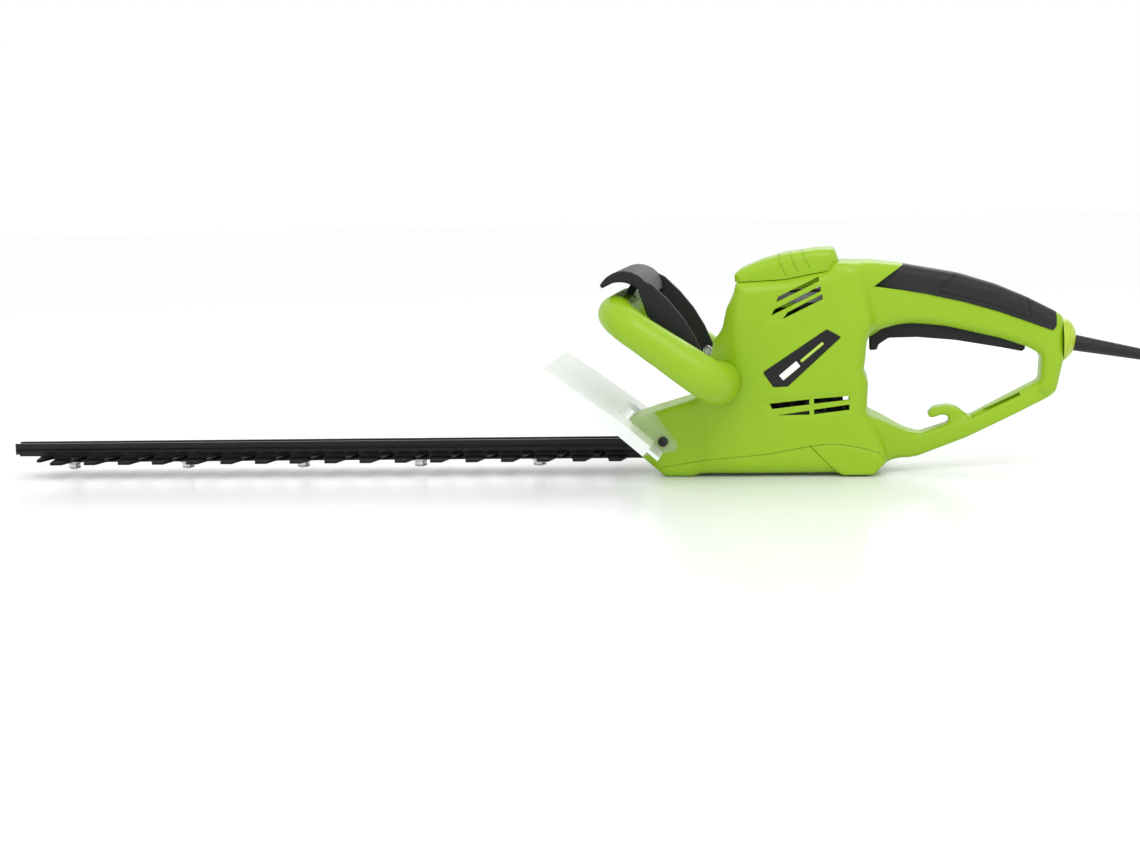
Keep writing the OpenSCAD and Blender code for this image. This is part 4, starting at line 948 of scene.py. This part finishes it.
class TRIMMER_OT_trigger(bpy.types.Operator):
    """Make the rear trigger"""

    bl_idname = "trimmer.trigger"
    bl_label = "Rear trigger"

    def execute(self, context):
        trigger = solid("rear_trigger_blade", lambda bm: loft(bm, TRIGGER, -6.7, 6.7, 1.6))
        add(trigger, lambda bm: box(bm, (341, -5.7, 108), (349, 5.7, 121)))
        cut(trigger, lambda bm: rod(bm, (276, 118), -8, 8, PIN_BORE))
        cut(trigger, lambda bm: prism(bm, [(292, 106), (292, 126), (334, 126), (334, 103.6)], -4.5, 4.5))
        complete(trigger, FINISHES["black"], "trigger", ["rear_trigger"])
        return {"FINISHED"}


def bail_point(across, rise, up=0.0):
    return BAIL_ROOT + BAIL_WAY * rise + BAIL_UP * up + Vector((0, across, 0))


def in_bail_plane(rise, up):
    return tuple(bail_point(0, rise, up).xz)


def bail_path():
    """Route of the front handle as (distance from the middle plane, rise)."""
    low, top = 17.0, 26.0
    half = [(33, 0), (36, 0), (39, 0), (50, 0), (58, 0)]
    half += [(BAIL_HALF - low + low * math.sin(a), low * (1 - math.cos(a)))
             for a in (math.radians(7.5 * k) for k in range(13))]
    half += [(BAIL_HALF, 17 + (BAIL_RISE - top - 17) * t) for t in (0.25, 0.5, 0.75)]
    half += [(BAIL_HALF - top * (1 - math.cos(a)), BAIL_RISE - top + top * math.sin(a))
             for a in (math.radians(7.5 * k) for k in range(13))]
    half += [(52.9 - 0.9 * k, BAIL_RISE) for k in range(59)]
    return half + [(-a, b) for a, b in reversed(half)]


class TRIMMER_OT_front_handle(bpy.types.Operator):
    """Make the two halves of the front handle"""

    bl_idname = "trimmer.front_handle"
    bl_label = "Front handle"

    def execute(self, context):
        settings = context.scene.trimmer_handles
        pitch, depth = settings.groove_pitch / MM, settings.groove_depth / MM
        path = bail_path()
        for s, node, name in ((1, "front_handle_upper", "front_handle_top"),
                              (-1, "front_handle_lower", "front_handle_base")):
            def sweep(bm):
                rings = []
                for i, (across, rise) in enumerate(path):
                    ahead = path[min(i + 1, len(path) - 1)]
                    behind = path[max(i - 1, 0)]
                    way = Vector((ahead[0] - behind[0], ahead[1] - behind[1])).normalized()
                    side = BAIL_WAY * way.x - Vector((0, way.y, 0))
                    outer = 15.5 - 2 * min(1, max(0, (rise - 17) / (BAIL_RISE - 43)))
                    if abs(across) < 52.4 and rise > BAIL_RISE - 0.01:
                        phase = (abs(across) / pitch) % 1
                        outer -= depth * max(0, 1 - abs(phase - 0.5) / 0.16)
                    centre = bail_point(across, rise)
                    turn = [math.pi * k / 14 for k in range(15)]
                    inner = 13 - 2 * min(1, rise / 68.5)
                    arcs = [(outer, a) for a in turn] + [(inner, a) for a in reversed(turn)]
                    rings.append(ring(bm, [
                        centre + side * r * math.cos(a) + BAIL_UP * s * (r * math.sin(a) + BAIL_GAP)
                        for r, a in arcs
                    ]))
                skin(bm, rings)

            half = solid(name, sweep)

            def along_screws(bm, low, high, radius):
                for across, share in BAIL_SCREWS:
                    rise = BAIL_RISE * share
                    stick(bm, bail_point(across, rise, low), bail_point(across, rise, high), radius)

            def bores(bm):
                along_screws(bm, -17, BAIL_SCREW_SEAT, 4)
                along_screws(bm, -7, -3, 2.2)

            if s < 0:
                add(half, lambda bm: along_screws(bm, -12.2, -4.6, 4.9))
                cut(half, bores)
            else:
                latch = [in_bail_plane(LATCH_RISE + a, b) for a, b in ((-6, 8), (6, 8), (6, 18), (-6, 18))]
                cut(half, lambda bm: prism(bm, latch, -6.5, 6.5))

            def pin_holes(bm):
                for y in (-1, 1):
                    rod(bm, LEVER_PIVOT, y * 56, y * 74, 2.52)

            cut(half, pin_holes)
            complete(half, FINISHES["green"], "housing", [node], 40)
        return {"FINISHED"}


class TRIMMER_OT_lever(bpy.types.Operator):
    """Make the front safety lever"""

    bl_idname = "trimmer.lever"
    bl_label = "Front lever"

    def execute(self, context):
        cheek = [in_bail_plane(a, b) + (r,) for a, b, r in (
            (17.4, 4, 3), (21, -0.4, 4), (32, -0.5, 4), (60, 8.4, 12), (74, 12.8, 6), (82, 19, 4),
            (90, 24.5, 2), (92, 33, 1), (84, 34.2, 8), (67, 31.4, 24), (50, 26.4, 30), (35, 19.6, 20),
            (21, 10.9, 4))]
        outer, inner = [], []
        for k in range(25):
            angle = math.radians(18 + 102 * k / 24)
            wall = 9 * math.sin(math.pi * (0.1 + 0.72 * k / 24))
            for reach, line in ((21.5 + wall, outer), (21.5, inner)):
                rise, up = BAIL_RISE - 1.5 + reach * math.cos(angle), 4 + reach * math.sin(angle)
                line.append(in_bail_plane(rise, up))
        hood = outer + inner[::-1]
        lever = solid("safety_lever", lambda bm: loft(bm, hood, -LEVER_OUT, LEVER_OUT, 1.4, 4, 2))
        for side in (1, -1):
            add(lever, lambda bm: loft(bm, cheek, *span(side, LEVER_IN, LEVER_OUT), 1.1, 4))
        latch = [in_bail_plane(LATCH_RISE + a, b) for a, b in ((-3, 13), (3, 13), (3, 27.5), (-3, 27.5))]
        add(lever, lambda bm: prism(bm, latch, -5, 5))
        for side in (-1, 1):
            cut(lever, lambda bm: rod(bm, LEVER_PIVOT, side * 56, side * 66, PIN_BORE))
        complete(lever, FINISHES["black"], "lever", ["front_lever"], 30)
        return {"FINISHED"}


class TRIMMER_OT_guard(bpy.types.Operator):
    """Make the clear hand guard"""

    bl_idname = "trimmer.guard"
    bl_label = "Hand guard"

    def execute(self, context):
        plate = thick([(22.5, 88), (61, 60.5), (82, 45.5), (103, 27.5)], 0, 2.4)
        guard = solid("clear_hand_guard", lambda bm: prism(bm, plate, -GUARD_HALF, GUARD_HALF))
        corners = ((-GUARD_HALF, 0, 1), (GUARD_HALF, 0, 1), (GUARD_HALF, 91, 9), (-GUARD_HALF, 91, 9))

        def face(bm):
            skin(bm, [ring(bm, [(x, y, z) for y, z in rounded(corners, 12)]) for x in (0, 130)])

        combine(guard, solid("face", face), "INTERSECT")
        lip = thick([(63, 59.1), (82, 45.5), (103, 27.5)], -7, 0.4)
        add(guard, lambda bm: both_sides(bm, lip, 72.6, 74.9))
        cheek = [(80, 43, 2), (104.4, 51.5, 2), (122, 27, 2), (121, 20.6, 1), (95, 17, 1)]
        for side in (-1, 1):
            add(guard, lambda bm: loft(bm, cheek, *span(side, CHEEK_IN, CHEEK_OUT), 0.5, 3))
        flange = thick([(97.5, 32.4), (103, 27.5), (111, 20.5)], -2.4, 0.3)
        add(guard, lambda bm: both_sides(bm, flange, 34.1, 74.8))
        nose = [(60, 10), (76, 41.8), (80.2, 43), (104, 51.3), (130, 60), (130, 10)]
        cut(guard, lambda bm: prism(bm, nose, -CHEEK_IN, CHEEK_IN))
        cut(guard, lambda bm: rod(bm, GUARD_SCREW, -40, 40, 2.3))
        complete(guard, FINISHES["clear"], "housing", ["hand_guard"])
        return {"FINISHED"}


class TRIMMER_OT_badge(bpy.types.Operator):
    """Make the plain badge with two generic stripes"""

    bl_idname = "trimmer.badge"
    bl_label = "Badge"

    def execute(self, context):
        plate = solid("badge_face", lambda bm: loft(bm, inset(BADGE, 0.1), -38.25, -37.25, 0.3, 3))
        complete(plate, FINISHES["badge"], "housing", ["badge_plate"])
        way = Vector((40.6, 33.4)).normalized()
        side = Vector((-way.y, way.x))
        for name, finish, start, length, width in (
            ("badge_stripe_wide", "white_print", 0, 17, 5.0),
            ("badge_stripe_fine", "green_print", 19.5, 22, 2.2),
        ):
            begin = Vector((203, 75.5)) + side * 1.5 + way * start
            end, aside = begin + way * length, side * width / 2
            corners = (begin - aside, end - aside, end + aside, begin + aside)
            shape = [(point.x, point.y, 0.8) for point in corners]
            stripe = solid(name, lambda bm: loft(bm, shape, -38.36, -38.1, 0.08, 2))
            complete(stripe, FINISHES[finish], "housing")
        return {"FINISHED"}


def cross_screws(name, spots, length, slot, node, head, height, shank):
    """Screws with a cross recess: spots are (centre of the head's seat, way from the tip to the head)."""
    profile = [(0, -length), (shank, -length), (shank, 0), (head, 0), (head, height * 0.55),
               (head * 0.92, height * 0.85), (head * 0.7, height), (0, height)]
    slit = Matrix.Diagonal((head * 1.15 * MM, head * 0.28 * MM, height * MM, 1))

    def bodies(bm):
        for place, way in spots:
            turned(bm, profile, place, way, 28)

    def slits(bm, angle):
        for place, way in spots:
            turn = Vector(way).to_track_quat("Z", "Y").to_matrix().to_4x4() @ Matrix.Rotation(angle, 4, "Z")
            top = Vector(place) + Vector(way) * height
            bmesh.ops.create_cube(bm, size=1, matrix=Matrix.Translation(top * MM) @ turn @ slit)

    made = solid(name, bodies)
    recess = solid("recess", lambda bm: slits(bm, 0.6))
    add(recess, lambda bm: slits(bm, 0.6 + math.pi / 2))
    combine(made, recess)
    complete(made, FINISHES["screw"], "housing", [node])


class TRIMMER_OT_screws(bpy.types.Operator):
    """Make the screws of the housing, the front handle and the guard"""

    bl_idname = "trimmer.screws"
    bl_label = "Screws"

    def execute(self, context):
        shell = [((x, SCREW_SEAT, z), (0, 1, 0)) for x, z, _ in BOSSES]
        cross_screws("housing_cross_screws", shell, 18.4, "bright_steel", "housing_screws", **CROSS_HEAD)
        handle = [(bail_point(a, BAIL_RISE * b, BAIL_SCREW_SEAT), -BAIL_UP) for a, b in BAIL_SCREWS]
        cross_screws("handle_cross_screws", handle, 13, "bright_steel", "front_handle_screws", **CROSS_HEAD)
        guard = [((GUARD_SCREW[0], s * CHEEK_OUT, GUARD_SCREW[1]), (0, s, 0)) for s in (-1, 1)]
        cross_screws("guard_cross_screws", guard, 13.4, "control_black", "guard_screws", 3.9, 2, 1.98)
        return {"FINISHED"}


class TRIMMER_OT_cutter(bpy.types.Operator):
    """Make the guide bar, the blades and their bolts"""

    bl_idname = "trimmer.cutter"
    bl_label = "Cutter"

    def execute(self, context):
        width = context.scene.trimmer_cutter.edge_break / MM
        for node, name, body, finish, slot, bevel in (
            ("guide_bar", "guide_bar_profile", "housing", "bar", "bar_black", width),
            ("upper_blade", "upper_cutter", "top_cutter", "blade", "blade_steel", width),
            ("lower_blade", "lower_cutter", "bottom_cutter", "blade", "blade_steel", width),
            ("blade_nuts", "bar_nuts", "housing", "bright", "bright_steel", 0.35),
            ("blade_bolts", "bar_bolts", "housing", "bright", "bright_steel", 0.3),
            ("blade_washers", "bar_washers", "housing", "bright", "bright_steel", 0.2),
        ):
            made = cad_copy(node, name)
            break_edges(made, bevel)
            complete(made, FINISHES[finish], body, [node])
        return {"FINISHED"}


class TRIMMER_OT_inner_parts(bpy.types.Operator):
    """Give the CAD parts that stay their finishes"""

    bl_idname = "trimmer.inner_parts"
    bl_label = "Inner parts"

    def execute(self, context):
        finishes = {
            "bright": "trigger_pin trigger_spring lever_pins lever_springs bar_screws gear_posts "
                      "clamp_screws brush_springs gear_bearings motor_bearings",
            "black": "rear_switch rear_switch_button front_switch front_switch_button brush_holders "
                     "cable_clamp",
            "case": "gear_plate_upper gear_plate_lower motor_end_plate",
            "gear": "drive_gear gear_shaft upper_eccentric lower_eccentric armature_shaft pinion",
            "core": "armature_core stator",
            "copper": "armature_windings commutator field_coils",
            "carbon": "brushes",
            "film": "capacitor",
            "lead": "inner_leads",
            "fan": "fan",
        }
        for finish, nodes in finishes.items():
            for node in nodes.split():
                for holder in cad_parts[node].material_slots:
                    holder.material = FINISHES[finish]
        return {"FINISHED"}


class TRIMMER_PT_panel(bpy.types.Panel):
    """Lists the trimmer's settings and steps"""

    bl_idname = "TRIMMER_PT_panel"
    bl_label = "Hedge Trimmer"
    bl_space_type = "VIEW_3D"
    bl_region_type = "UI"
    bl_category = "Trimmer"

    def draw(self, context):
        for settings in (context.scene.trimmer_housing, context.scene.trimmer_handles,
                         context.scene.trimmer_cutter, context.scene.trimmer_stage):
            for name in settings.__annotations__:
                self.layout.prop(settings, name)
        for step in STEPS:
            self.layout.operator(step.bl_idname)


SETTINGS = {
    "trimmer_housing": TRIMMER_PG_housing,
    "trimmer_handles": TRIMMER_PG_handles,
    "trimmer_cutter": TRIMMER_PG_cutter,
    "trimmer_stage": TRIMMER_PG_stage,
}
STEPS = (
    TRIMMER_OT_stage, TRIMMER_OT_lead, TRIMMER_OT_housing, TRIMMER_OT_cover, TRIMMER_OT_grip,
    TRIMMER_OT_trigger, TRIMMER_OT_front_handle, TRIMMER_OT_lever, TRIMMER_OT_guard, TRIMMER_OT_badge,
    TRIMMER_OT_screws, TRIMMER_OT_cutter, TRIMMER_OT_inner_parts,
)


def register():
    for kind in (*SETTINGS.values(), *STEPS, TRIMMER_PT_panel):
        bpy.utils.register_class(kind)
    for name, kind in SETTINGS.items():
        setattr(bpy.types.Scene, name, PointerProperty(type=kind))


def unregister():
    for name in SETTINGS:
        delattr(bpy.types.Scene, name)
    for kind in reversed((*SETTINGS.values(), *STEPS, TRIMMER_PT_panel)):
        bpy.utils.unregister_class(kind)


def main():
    register()
    make_finishes(bpy.context.scene)
    for step in STEPS:
        group, name = step.bl_idname.split(".")
        getattr(getattr(bpy.ops, group), name)()


if __name__ == "__main__":
    main()
